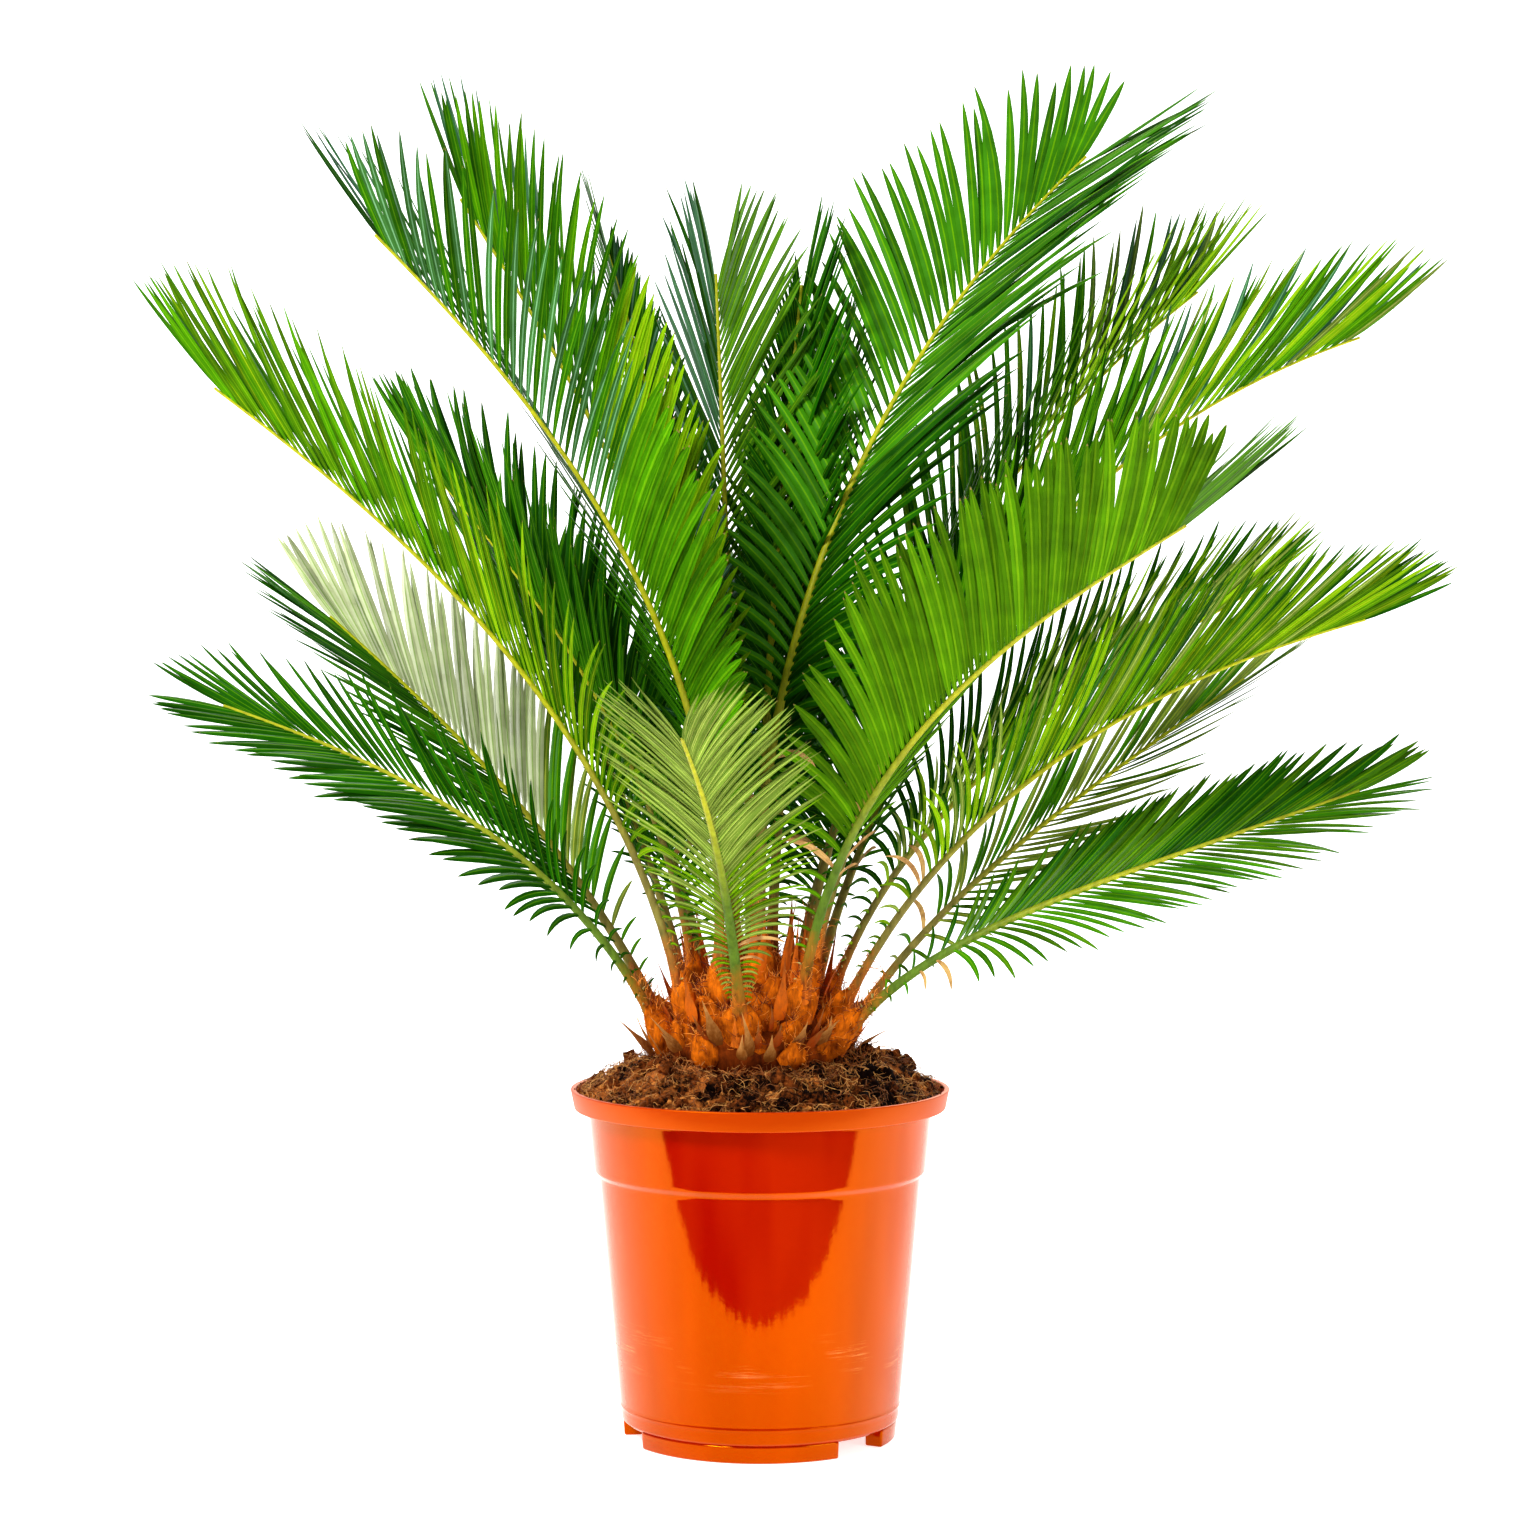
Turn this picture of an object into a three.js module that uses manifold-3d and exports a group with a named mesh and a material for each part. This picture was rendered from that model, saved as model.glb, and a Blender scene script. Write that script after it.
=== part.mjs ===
// Young sago palm (Cycas revoluta) in a moulded plastic nursery pot.
// Millimetres, +Z up. The origin is the centre of the pot's underside, on the pot's axis; the plant's
// front is -Y and its right is +X. The crown is a rosette of arching fronds on a short, scaly caudex.
import * as THREE from 'three';
import { mergeVertices } from 'three/addons/utils/BufferGeometryUtils.js';
import Module from 'manifold-3d';

// ---------------------------------------------------------------- driving dimensions
const CLEARANCE = 0.35; // between touching solids

// pot
const POT_HEIGHT = 175;
const RIM_RADIUS = 95; // outside of the lip
const LIP_HEIGHT = 10;
const LIP_THICKNESS = 2.8;
const LIP_TAPER = 2; // the lip's lower edge is this much narrower
const COLLAR_TOP_RADIUS = 86.3;
const COLLAR_FOOT_RADIUS = 83.2;
const COLLAR_HEIGHT = 31;
const LEDGE = 2.5; // step from the collar to the wall, both ways
const WALL_FOOT_RADIUS = 69.7;
const WALL_THICKNESS = 1.8;
const FOOT_HEIGHT = 8;
const FOOT_RADIUS = 68.2;
const FOOT_RING_WIDTH = 9;
const FEET = 3;
const FOOT_ANGLE = 93; // degrees that each foot spans
const FOOT_HEADING = 258; // middle of the front foot
const CENTRE_PAD_RADIUS = 14;
const POT_SIDES = 42;

// soil, filled to just under the lip and heaped round the plant
const SOIL_AT_LIP = 171;
const SOIL_TOP = 191;
const SOIL_FLAT_RADIUS = 56;
const SOIL_ROUGHNESS = 1.6;

// caudex: the swollen stem, a dome that carries every frond
const CAUDEX_X = -3;
const CAUDEX_RADIUS = 47;
const CAUDEX_TOP = 236;
const CAUDEX_FALL = 0.0185; // the dome drops by this much times the squared radius
const CAUDEX_SIDES = 22;
const BRACT_COUNT = 46; // woody scales tried between the leaf stalks
const BRACT_LENGTH = 24;
const BRACT_WIDTH = 9;

// fronds
const SEAT_DEPTH = 4; // how far below the dome a rib starts; the dome is cut away from it
const STALK = 0.2; // bare share of a frond's length
const RIB_END = 0.985; // where the last pair of leaflets stands
const LEAFLET_PITCH = 13; // along the rib
const LEAFLET_WIDTH = 8;
const LEAFLET_THICKNESS = 1.3;
const LEAFLET_MIDDLE = 0.4; // where a leaflet is widest
const RECURVE = 8; // degrees that a leaflet bends back over its length
const RIB_STALK_WIDTH = 6.6;
const RIB_TIP_WIDTH = 1.8;
const RIB_DEPTH = 0.72; // of its width
const SPINE_STEPS = 60;
const SHORTER = [1, 0.8, 0.62, 0.45]; // lengths tried for a leaflet that meets another frond

// seat: where the stalk leaves the caudex, as heading and radius. rise and tip: slope at the stalk and at
// the tip, eased by ease. roll turns the blade about its rib; vee lifts its two ranks of leaflets.
const FRONDS = [
  {
    name: 'front', seat: [262, 40], heading: 262, rise: 66, tip: 24, length: 245,
    leaf: 70, vee: 25, spread: 1.2,
  },
  {
    name: 'left_1', seat: [195, 44], heading: 196, rise: 66, tip: 20, length: 288,
    leaf: 68, vee: 10, roll: 45,
  },
  {
    name: 'left_2', seat: [160, 44], heading: 165, rise: 64, tip: 40, length: 285,
    leaf: 88, vee: 28, roll: 35,
  },
  { name: 'left_3', seat: [205, 36], heading: 200, rise: 79, tip: 36, length: 400, leaf: 108, vee: 55 },
  { name: 'left_4', seat: [228, 28], heading: 220, rise: 98, tip: 38, length: 440, leaf: 108, vee: 35 },
  { name: 'left_5', seat: [205, 12], heading: 205, rise: 92, tip: 55, length: 415, leaf: 108, vee: 45 },
  { name: 'left_6', seat: [172, 28], heading: 165, rise: 84, tip: 48, length: 310, leaf: 90, vee: 50 },
  {
    name: 'right_1', seat: [330, 44], heading: 344, rise: 54, tip: 20, ease: 4, length: 295,
    leaf: 68, vee: 10, roll: -45,
  },
  {
    name: 'right_2', seat: [10, 44], heading: 358, rise: 60, tip: 35, ease: 2.5, length: 275,
    leaf: 70, vee: 15, roll: -20,
  },
  {
    name: 'right_3', seat: [352, 39], heading: 348, rise: 66, tip: 16, ease: 1.3, length: 345,
    leaf: 88, vee: 55,
  },
  {
    name: 'right_4', seat: [26, 38], heading: 10, rise: 74, tip: 29, ease: 2, length: 320,
    leaf: 88, vee: 50,
  },
  {
    name: 'right_5', seat: [310, 34], heading: 312, rise: 82, tip: 24, ease: 2, length: 365,
    leaf: 108, vee: 35,
  },
  {
    name: 'right_6', seat: [0, 26], heading: 8, rise: 80, tip: 18, ease: 1, length: 460,
    leaf: 100, vee: 55,
  },
  {
    name: 'right_7', seat: [36, 26], heading: 28, rise: 80, tip: 34, ease: 1.1, length: 450,
    leaf: 100, vee: 50,
  },
  {
    name: 'right_8', seat: [280, 14], heading: 38, rise: 94, tip: 38, ease: 1.3, length: 500,
    leaf: 120, vee: 18, roll: -15, spread: 1.2,
  },
  { name: 'back_1', seat: [135, 12], heading: 128, rise: 88, tip: 64, length: 390, leaf: 90, vee: 45 },
  { name: 'back_2', seat: [112, 26], heading: 98, rise: 88, tip: 72, length: 380, leaf: 90, vee: 40 },
  { name: 'back_3', seat: [80, 12], heading: 74, rise: 88, tip: 70, length: 365, leaf: 84, vee: 40 },
  { name: 'back_4', seat: [72, 26], heading: 72, rise: 86, tip: 62, length: 340, leaf: 84, vee: 45 },
  { name: 'back_5', seat: [140, 40], heading: 138, rise: 76, tip: 44, length: 300, leaf: 86, vee: 45 },
  { name: 'back_6', seat: [116, 44], heading: 114, rise: 66, tip: 26, length: 310, leaf: 84, vee: 35 },
  { name: 'back_7', seat: [92, 40], heading: 92, rise: 70, tip: 34, length: 320, leaf: 84, vee: 35 },
  { name: 'back_8', seat: [68, 44], heading: 70, rise: 66, tip: 26, length: 310, leaf: 84, vee: 35 },
  { name: 'back_9', seat: [48, 40], heading: 46, rise: 74, tip: 36, length: 320, leaf: 86, vee: 45 },
];

const COLOURS = {
  pot: 0xe8501a,
  soil: 0x3a2418,
  caudex: 0xa5582a,
  front: 0x86b24a,
  left: 0x5d9a1e,
  right: 0x4c921c,
  back: 0x2c6b2a,
};

// ---------------------------------------------------------------- solids
const wasm = await Module();
wasm.setup();

const radians = THREE.MathUtils.degToRad;

/** Turns a closed three.js geometry into a solid that can be joined and cut. */
function solidFrom(geometry) {
  const bare = geometry.clone();
  bare.deleteAttribute('normal');
  bare.deleteAttribute('uv');
  const merged = mergeVertices(bare, 1e-4);
  return new wasm.Manifold(new wasm.Mesh({
    numProp: 3,
    vertProperties: Float32Array.from(merged.attributes.position.array),
    triVerts: Uint32Array.from(merged.index.array),
  }));
}

/** Turns a solid back into a three.js geometry. */
function geometryFrom(solid) {
  const { vertProperties, triVerts } = solid.getMesh();
  const geometry = new THREE.BufferGeometry();
  geometry.setAttribute('position', new THREE.BufferAttribute(vertProperties, 3));
  geometry.setIndex(new THREE.BufferAttribute(triVerts, 1));
  return geometry;
}

/** Makes a closed geometry from corner points and the triangles between them. */
function polyhedron(points, triangles) {
  const geometry = new THREE.BufferGeometry().setFromPoints(points);
  geometry.setIndex(triangles.flat());
  return geometry;
}

/** Turns a profile of [radius, height] pairs round the Z axis. */
function turned(profile, sides) {
  const points = profile.map(([radius, height]) => new THREE.Vector2(radius, height));
  return new THREE.LatheGeometry(points, sides).rotateX(Math.PI / 2);
}

/** Names a geometry and gives it its own material. */
function piece(name, geometry, color, roughness) {
  const material = new THREE.MeshStandardMaterial({ color, roughness, metalness: 0, flatShading: true });
  const mesh = new THREE.Mesh(geometry, material);
  mesh.name = name;
  return mesh;
}

/** A repeatable number between -1 and 1 for any pair of counts. */
function wobble(a, b) {
  const wave = Math.sin(a * 12.9898 + b * 78.233) * 43758.5453;
  return 2 * (wave - Math.floor(wave)) - 1;
}

// ---------------------------------------------------------------- pot
const LIP_FOOT = POT_HEIGHT - LIP_HEIGHT;
const COLLAR_FOOT = LIP_FOOT - COLLAR_HEIGHT;
const FLOOR_TOP = FOOT_HEIGHT + WALL_THICKNESS;

/** Inner face of the pot from its floor to its lip, moved inwards by a gap. */
function innerProfile(gap) {
  const inset = WALL_THICKNESS + gap;
  return [
    [WALL_FOOT_RADIUS - inset, FLOOR_TOP + gap],
    [COLLAR_FOOT_RADIUS - LEDGE - inset, COLLAR_FOOT - LEDGE],
    [COLLAR_FOOT_RADIUS - inset, COLLAR_FOOT + gap],
    [COLLAR_TOP_RADIUS - inset, LIP_FOOT + gap],
    [RIM_RADIUS - LIP_THICKNESS - LIP_TAPER / 2 - gap, LIP_FOOT + LIP_THICKNESS + gap],
  ];
}

function makePot() {
  const chamfer = 0.8;
  const outer = [
    [0, FOOT_HEIGHT],
    [WALL_FOOT_RADIUS - WALL_THICKNESS, FOOT_HEIGHT],
    [WALL_FOOT_RADIUS, FLOOR_TOP],
    [COLLAR_FOOT_RADIUS - LEDGE, COLLAR_FOOT - LEDGE],
    [COLLAR_FOOT_RADIUS, COLLAR_FOOT],
    [COLLAR_TOP_RADIUS, LIP_FOOT],
    [RIM_RADIUS - LIP_TAPER, LIP_FOOT],
    [RIM_RADIUS, POT_HEIGHT - chamfer],
    [RIM_RADIUS - chamfer, POT_HEIGHT],
  ];
  const inner = [...innerProfile(0), [RIM_RADIUS - LIP_THICKNESS, POT_HEIGHT]].reverse();
  let pot = solidFrom(turned([...outer, ...inner, [0, FLOOR_TOP]], POT_SIDES));
  const sunk = WALL_THICKNESS / 2;
  for (let foot = 0; foot < FEET; foot += 1) {
    const middle = radians(FOOT_HEADING + (foot * 360) / FEET);
    const half = radians(FOOT_ANGLE / 2);
    const outline = new THREE.Shape()
      .absarc(0, 0, FOOT_RADIUS, middle - half, middle + half, false)
      .absarc(0, 0, FOOT_RADIUS - FOOT_RING_WIDTH, middle + half, middle - half, true);
    const block = new THREE.ExtrudeGeometry(outline, {
      depth: FOOT_HEIGHT + sunk,
      curveSegments: Math.round((POT_SIDES * FOOT_ANGLE) / 360),
      bevelEnabled: false,
    });
    pot = pot.add(solidFrom(block));
  }
  const pad = new THREE.CylinderGeometry(CENTRE_PAD_RADIUS, CENTRE_PAD_RADIUS, FOOT_HEIGHT + sunk, 16);
  pad.rotateX(Math.PI / 2).translate(0, 0, (FOOT_HEIGHT + sunk) / 2);
  return pot.add(solidFrom(pad));
}

// ---------------------------------------------------------------- soil
function makeSoil() {
  const wall = innerProfile(CLEARANCE);
  const brim = wall[wall.length - 1][0];
  const top = [
    [brim, SOIL_AT_LIP],
    [(brim + SOIL_FLAT_RADIUS) / 2, SOIL_TOP - 7],
    [SOIL_FLAT_RADIUS, SOIL_TOP],
    [0, SOIL_TOP],
  ];
  const geometry = turned([[0, FLOOR_TOP + CLEARANCE], ...wall, ...top], POT_SIDES);
  const point = geometry.attributes.position;
  for (let i = 0; i < point.count; i += 1) {
    const [x, y, z] = [point.getX(i), point.getY(i), point.getZ(i)];
    if (z > SOIL_AT_LIP - 1 && Math.hypot(x, y) > SOIL_FLAT_RADIUS + 1) {
      point.setZ(i, z + SOIL_ROUGHNESS * Math.sin(0.09 * x + 1) * Math.cos(0.11 * y));
    }
  }
  return solidFrom(geometry);
}

// ---------------------------------------------------------------- caudex
/** Height of the caudex's dome at a distance from its axis. */
function domeHeight(radius) {
  return CAUDEX_TOP - CAUDEX_FALL * radius * radius;
}

/** Point on the caudex's dome, from a heading in degrees and a radius. */
function domePoint(heading, radius) {
  const turn = radians(heading);
  return new THREE.Vector3(
    CAUDEX_X + radius * Math.cos(turn),
    radius * Math.sin(turn),
    domeHeight(radius),
  );
}

/** The caudex without its scales, grown by a skin on every side but its foot. */
function caudexDome(skin) {
  const shoulder = CAUDEX_RADIUS - 1;
  const profile = [[0, SOIL_TOP + CLEARANCE], [CAUDEX_RADIUS - 2 + skin, SOIL_TOP + CLEARANCE]];
  for (const share of [1, 0.85, 0.65, 0.42, 0.2, 0]) {
    const radius = shoulder * share;
    profile.push([radius + skin * share, domeHeight(radius) + skin]);
  }
  return solidFrom(turned(profile, CAUDEX_SIDES).translate(CAUDEX_X, 0, 0));
}

/** One pointed woody scale, standing out of the dome; grown by a skin for clearance tests. */
function bract(index, skin) {
  const turn = index * 137.5;
  const radius = CAUDEX_RADIUS * Math.sqrt((index + 6) / (BRACT_COUNT + 5));
  const length = BRACT_LENGTH * (1 + 0.25 * wobble(index, 1));
  const blade = new THREE.ConeGeometry(BRACT_WIDTH / 2 + skin, length + skin, 4);
  blade.translate(0, length * 0.3, 0).scale(1, 1, 0.5);
  const lean = Math.atan2(radius, 34) + 0.18 * wobble(index, 2);
  blade.rotateX(Math.PI / 2 + lean).rotateZ(radians(turn) - Math.PI / 2 + Math.PI);
  const root = domePoint(turn, radius);
  return blade.translate(root.x, root.y, root.z);
}

/** The dome with the scales that fit between the stalks and over the soil. */
function makeCaudex(neighbours) {
  let caudex = caudexDome(0);
  for (let index = 0; index < BRACT_COUNT; index += 1) {
    const scale = solidFrom(bract(index, CLEARANCE));
    if (!neighbours.some((neighbour) => meets(scale, neighbour))) {
      caudex = caudex.add(solidFrom(bract(index, 0)));
    }
  }
  return caudex;
}

// ---------------------------------------------------------------- fronds
/** Walks a frond's rib from its seat and returns its frames: point, along, up and side. */
function ribFrames(frond) {
  const { heading, rise, tip, length, ease = 1.6, roll = 0 } = frond;
  const point = domePoint(...frond.seat);
  point.z -= SEAT_DEPTH;
  const outwards = new THREE.Vector3(Math.cos(radians(heading)), Math.sin(radians(heading)), 0);
  const upwards = new THREE.Vector3(0, 0, 1);
  const frames = [];
  for (let step = 0; step <= SPINE_STEPS; step += 1) {
    const eased = (1 - step / SPINE_STEPS) ** ease;
    const slope = radians(tip + (rise - tip) * eased);
    const along = outwards.clone().multiplyScalar(Math.cos(slope)).addScaledVector(upwards, Math.sin(slope));
    const up = upwards.clone().multiplyScalar(Math.cos(slope)).addScaledVector(outwards, -Math.sin(slope));
    up.applyAxisAngle(along, -radians(roll));
    frames.push({ point: point.clone(), along, up, side: new THREE.Vector3().crossVectors(up, along) });
    point.addScaledVector(along, length / SPINE_STEPS);
  }
  return frames;
}

/** The frame at a share of the rib's length, between the walked ones. */
function frameAt(frames, share) {
  const place = THREE.MathUtils.clamp(share, 0, 1) * SPINE_STEPS;
  const lower = Math.min(Math.floor(place), SPINE_STEPS - 1);
  const mix = place - lower;
  const blend = (key) => frames[lower][key].clone().lerp(frames[lower + 1][key], mix);
  return {
    point: blend('point'),
    along: blend('along').normalize(),
    up: blend('up').normalize(),
    side: blend('side').normalize(),
  };
}

/** Share of the full leaflet length at a place along the leafy part, 0 to 1. */
function leafletLength(place) {
  const grown = 0.18 + 0.82 * Math.min(1, place / 0.32) ** 0.8;
  const waning = 1 - 0.38 * Math.max(0, (place - 0.78) / 0.22) ** 2;
  return grown * waning;
}

/** Angle in degrees between leaflet and rib at a place along the leafy part. */
function leafletAngle(place) {
  const opening = 44 * (1 - Math.min(1, place / 0.4)) ** 1.5;
  const closing = 24 * Math.max(0, (place - 0.6) / 0.4) ** 2;
  return 40 + opening - closing;
}

/** How many pairs of leaflets a frond has room for. */
function leafletPairs(frond) {
  return Math.round((frond.length * (RIB_END - STALK)) / LEAFLET_PITCH);
}

/** The rib's four corners at a station: upper and lower on its near side, then on its far side. */
function ribCorners(frames, station, skin = 0) {
  const { point, up, side } = frameAt(frames, station);
  const width = RIB_TIP_WIDTH + (RIB_STALK_WIDTH - RIB_TIP_WIDTH) * (1 - station) ** 1.4;
  const above = 0.3 * width * RIB_DEPTH + skin;
  const below = -0.7 * width * RIB_DEPTH - skin;
  return [[1, above], [1, below], [-1, below], [-1, above]].map(([across, height]) => (
    point.clone().addScaledVector(side, (across * width) / 2).addScaledVector(up, height)
  ));
}

/** A leaflet's widest section and its tip: front edge, rear edge, ridge below them, end. A skin grows it
 *  most at its thin edges and its tip, so that it clears the leaflet without the skin on every side. */
function leafletPoints(frond, frames, place, hand, shorter, skin = 0) {
  const { point, along, up, side } = frameAt(frames, STALK + (RIB_END - STALK) * place);
  const lift = radians(frond.vee * (0.75 + 0.35 * place));
  const out = side.multiplyScalar(hand * Math.cos(lift)).addScaledVector(up, Math.sin(lift));
  const face = new THREE.Vector3().crossVectors(along, out).multiplyScalar(hand);
  const angle = leafletAngle(place) * (frond.spread ?? 1);
  const heading = (degrees) => (
    along.clone().multiplyScalar(Math.cos(radians(degrees))).addScaledVector(out, Math.sin(radians(degrees)))
  );
  const length = frond.leaf * leafletLength(place) * shorter + 8 * skin;
  const room = 0.86 * LEAFLET_PITCH * Math.sin(radians(angle));
  const across = heading(angle - 90).multiplyScalar(Math.min(LEAFLET_WIDTH, room) / 2 + 2.3 * skin);
  point.addScaledVector(heading(angle + (RECURVE * LEAFLET_MIDDLE) / 2), length * LEAFLET_MIDDLE);
  const bent = angle + (RECURVE * (1 + LEAFLET_MIDDLE)) / 2;
  const end = point.clone().addScaledVector(heading(bent), length * (1 - LEAFLET_MIDDLE));
  const upper = point.clone().addScaledVector(face, 0.4 * skin);
  const ridge = point.addScaledVector(face, -LEAFLET_THICKNESS - 1.7 * skin);
  return [upper.clone().add(across), upper.sub(across), ridge, end];
}

/** Faces of a leaflet that grows from a side face of the rib, with corners a and b above, c and d below. */
function leafletFaces([a, b, c, d], [front, rear, ridge, end]) {
  return [
    [a, b, front], [a, front, rear], [b, c, ridge], [b, ridge, front], [d, a, rear], [d, rear, ridge],
    [c, d, ridge], [rear, front, end], [front, ridge, end], [ridge, rear, end],
  ];
}

const flipped = (faces) => faces.map(([a, b, c]) => [a, c, b]);

/** A leaflet on its own, grown by the clearance: the probe for what it would touch. */
function leafletProbe(frond, frames, pair, pairs, hand, shorter) {
  const [start, end] = [pair, pair + 1].map((count) => STALK + ((RIB_END - STALK) * count) / pairs);
  const near = ribCorners(frames, start, CLEARANCE);
  const far = ribCorners(frames, end, CLEARANCE);
  const [top, foot] = hand > 0 ? [0, 1] : [3, 2];
  const root = [near[top], far[top], far[foot], near[foot]];
  const blade = leafletPoints(frond, frames, (pair + 0.5) / pairs, hand, shorter, CLEARANCE);
  const faces = [...leafletFaces([0, 1, 2, 3], [4, 5, 6, 7]), [0, 2, 1], [0, 3, 2]];
  return solidFrom(polyhedron([...root, ...blade], hand > 0 ? faces : flipped(faces)));
}

/** A frond: a four-sided tapering rib whose side faces grow out into leaflets. */
function frondSolid(frames, leaflets) {
  const pairs = leaflets[0].length;
  const stations = [0, STALK * 0.4, STALK * 0.75];
  for (let pair = 0; pair <= pairs; pair += 1) {
    stations.push(STALK + ((RIB_END - STALK) * pair) / pairs);
  }
  const bare = stations.length - pairs - 1;
  const points = stations.flatMap((station) => ribCorners(frames, station));
  const faces = [];
  const quad = (a, b, c, d) => faces.push([a, b, c], [a, c, d]);
  for (let ring = 0; ring < stations.length - 1; ring += 1) {
    const a = ring * 4;
    const b = a + 4;
    quad(a + 3, b + 3, b, a);
    quad(a + 1, b + 1, b + 2, a + 2);
    [[0, 1], [3, 2]].forEach(([top, foot], rank) => {
      const side = [a + top, b + top, b + foot, a + foot];
      const blade = ring < bare ? null : leaflets[rank][ring - bare];
      const first = points.length;
      points.push(...(blade ?? []));
      const grown = blade
        ? leafletFaces(side, [first, first + 1, first + 2, first + 3])
        : [[side[0], side[1], side[2]], [side[0], side[2], side[3]]];
      faces.push(...(rank === 0 ? grown : flipped(grown)));
    });
  }
  const last = (stations.length - 1) * 4;
  quad(0, 1, 2, 3);
  quad(last + 3, last + 2, last + 1, last);
  return solidFrom(polyhedron(points, faces));
}

/** Whether two solids share any space; their boxes are compared first. */
function meets(a, b) {
  const boxA = a.boundingBox();
  const boxB = b.boundingBox();
  const apart = [0, 1, 2].some((axis) => boxA.min[axis] > boxB.max[axis] || boxB.min[axis] > boxA.max[axis]);
  return !apart && !a.intersect(b).isEmpty();
}

/** The two ranks of leaflets that a frond can carry without touching the solids round it. */
function fittedLeaflets(frond, frames, others) {
  const pairs = leafletPairs(frond);
  return [1, -1].map((hand) => Array.from({ length: pairs }, (_, pair) => {
    const fits = SHORTER.find((shorter) => {
      const probe = leafletProbe(frond, frames, pair, pairs, hand, shorter);
      return !others.some((other) => meets(probe, other));
    });
    return fits ? leafletPoints(frond, frames, (pair + 0.5) / pairs, hand, fits) : null;
  }));
}

/** Every frond, each cut clear of the caudex and of the fronds made before it. */
function makeFronds(fixed) {
  const seatCut = caudexDome(CLEARANCE);
  const fronds = FRONDS.map((frond) => {
    const frames = ribFrames(frond);
    const noLeaflets = new Array(leafletPairs(frond)).fill(null);
    return { frond, frames, solid: frondSolid(frames, [noLeaflets, noLeaflets]).subtract(seatCut) };
  });
  for (const own of fronds) {
    const others = [...fixed, ...fronds.filter((other) => other !== own).map(({ solid }) => solid)];
    const leaflets = fittedLeaflets(own.frond, own.frames, others);
    own.solid = frondSolid(own.frames, leaflets).subtract(seatCut);
  }
  return fronds.map(({ frond, solid }) => ({ name: frond.name, solid }));
}

// ---------------------------------------------------------------- the plant in its pot
const pot = makePot();
const soil = makeSoil();
const fronds = makeFronds([pot, soil]);
const caudex = makeCaudex([soil, ...fronds.map(({ solid }) => solid)]);

const sagoPalm = new THREE.Group();
sagoPalm.add(piece('pot', geometryFrom(pot), COLOURS.pot, 0.28));
sagoPalm.add(piece('soil', geometryFrom(soil), COLOURS.soil, 0.95));
sagoPalm.add(piece('caudex', geometryFrom(caudex), COLOURS.caudex, 0.9));
for (const { name, solid } of fronds) {
  const side = name.split('_')[0];
  sagoPalm.add(piece(`frond_${name}`, geometryFrom(solid), COLOURS[side], 0.5));
}

export default sagoPalm;
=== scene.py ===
"""A young sago palm in a moulded nursery pot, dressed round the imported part.

Metres, +Z up, in the part's own frame: the origin is the centre of the pot's underside, the plant's front
is -Y and its right is +X. The plant's and the pot's named sizes are in millimetres and are multiplied by MM
where they are used. The set's sizes are in metres, and angles are in degrees. The fronds grow by the same
rule as the part's solids, carried to every leaflet.
"""

import math
import random

import bmesh
import bpy
import numpy as np
from mathutils import Matrix, Vector, noise


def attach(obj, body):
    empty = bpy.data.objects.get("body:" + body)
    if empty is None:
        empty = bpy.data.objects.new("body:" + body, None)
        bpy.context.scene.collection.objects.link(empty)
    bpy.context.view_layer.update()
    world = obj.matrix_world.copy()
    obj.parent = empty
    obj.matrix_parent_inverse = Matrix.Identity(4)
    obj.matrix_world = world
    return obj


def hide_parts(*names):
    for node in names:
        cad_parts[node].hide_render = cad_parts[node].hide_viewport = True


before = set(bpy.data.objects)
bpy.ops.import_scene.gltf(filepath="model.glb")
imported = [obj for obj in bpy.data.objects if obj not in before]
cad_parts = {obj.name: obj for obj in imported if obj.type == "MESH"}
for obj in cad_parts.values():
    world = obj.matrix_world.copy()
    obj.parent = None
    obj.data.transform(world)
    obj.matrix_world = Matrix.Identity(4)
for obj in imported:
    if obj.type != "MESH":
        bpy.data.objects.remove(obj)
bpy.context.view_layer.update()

MM = 0.001
UP = Vector((0, 0, 1))
GOLDEN_ANGLE = 137.5

# ---------------------------------------------------------------- driving sizes
# pot: radii and heights as moulded
POT_HEIGHT, RIM_RADIUS, LIP_HEIGHT, LIP_THICKNESS, LIP_TAPER = 175, 95, 10, 2.8, 2
COLLAR_TOP_RADIUS, COLLAR_FOOT_RADIUS, COLLAR_HEIGHT, LEDGE = 86.3, 83.2, 31, 2.5
WALL_FOOT_RADIUS, WALL_THICKNESS = 69.7, 1.8
FOOT_HEIGHT, FOOT_RADIUS, FOOT_RING_WIDTH, FEET, FOOT_ANGLE, FOOT_HEADING = 8, 68.2, 9, 3, 93, 258
FOOT_ROOT = 0.6  # how far the feet and the pad run up into the floor
CENTRE_PAD_RADIUS, PARTING_HEIGHT, PARTING_PROUD = 14, 16.5, 0.35
POT_STEPS, FOOT_STEPS, PAD_STEPS = 160, 44, 48

# soil, with two heaps on it: (height, x, y, spread)
SOIL_AT_LIP, SOIL_TOP, SOIL_FLAT_RADIUS = 171, 191, 56
SOIL_HEAPS = ((9, 58, -6, 380), (4, -60, -18, 500))
SOIL_RINGS, SOIL_STEPS = 62, 250
# loose fibres stay within LOOSE_REACH, and the crumbs past it lie on the lip
LOOSE_REACH, CRUMB_REACH, SMALL_CRUMBS_FROM, SMALL_CRUMB = 91, 93.5, 88, 0.55

# caudex
CAUDEX_X, CAUDEX_RADIUS, CAUDEX_TOP, CAUDEX_FALL = -3, 47, 236, 0.0185
CAUDEX_RINGS, CAUDEX_STEPS, OLD_BASES = 24, 120, 46

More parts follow.
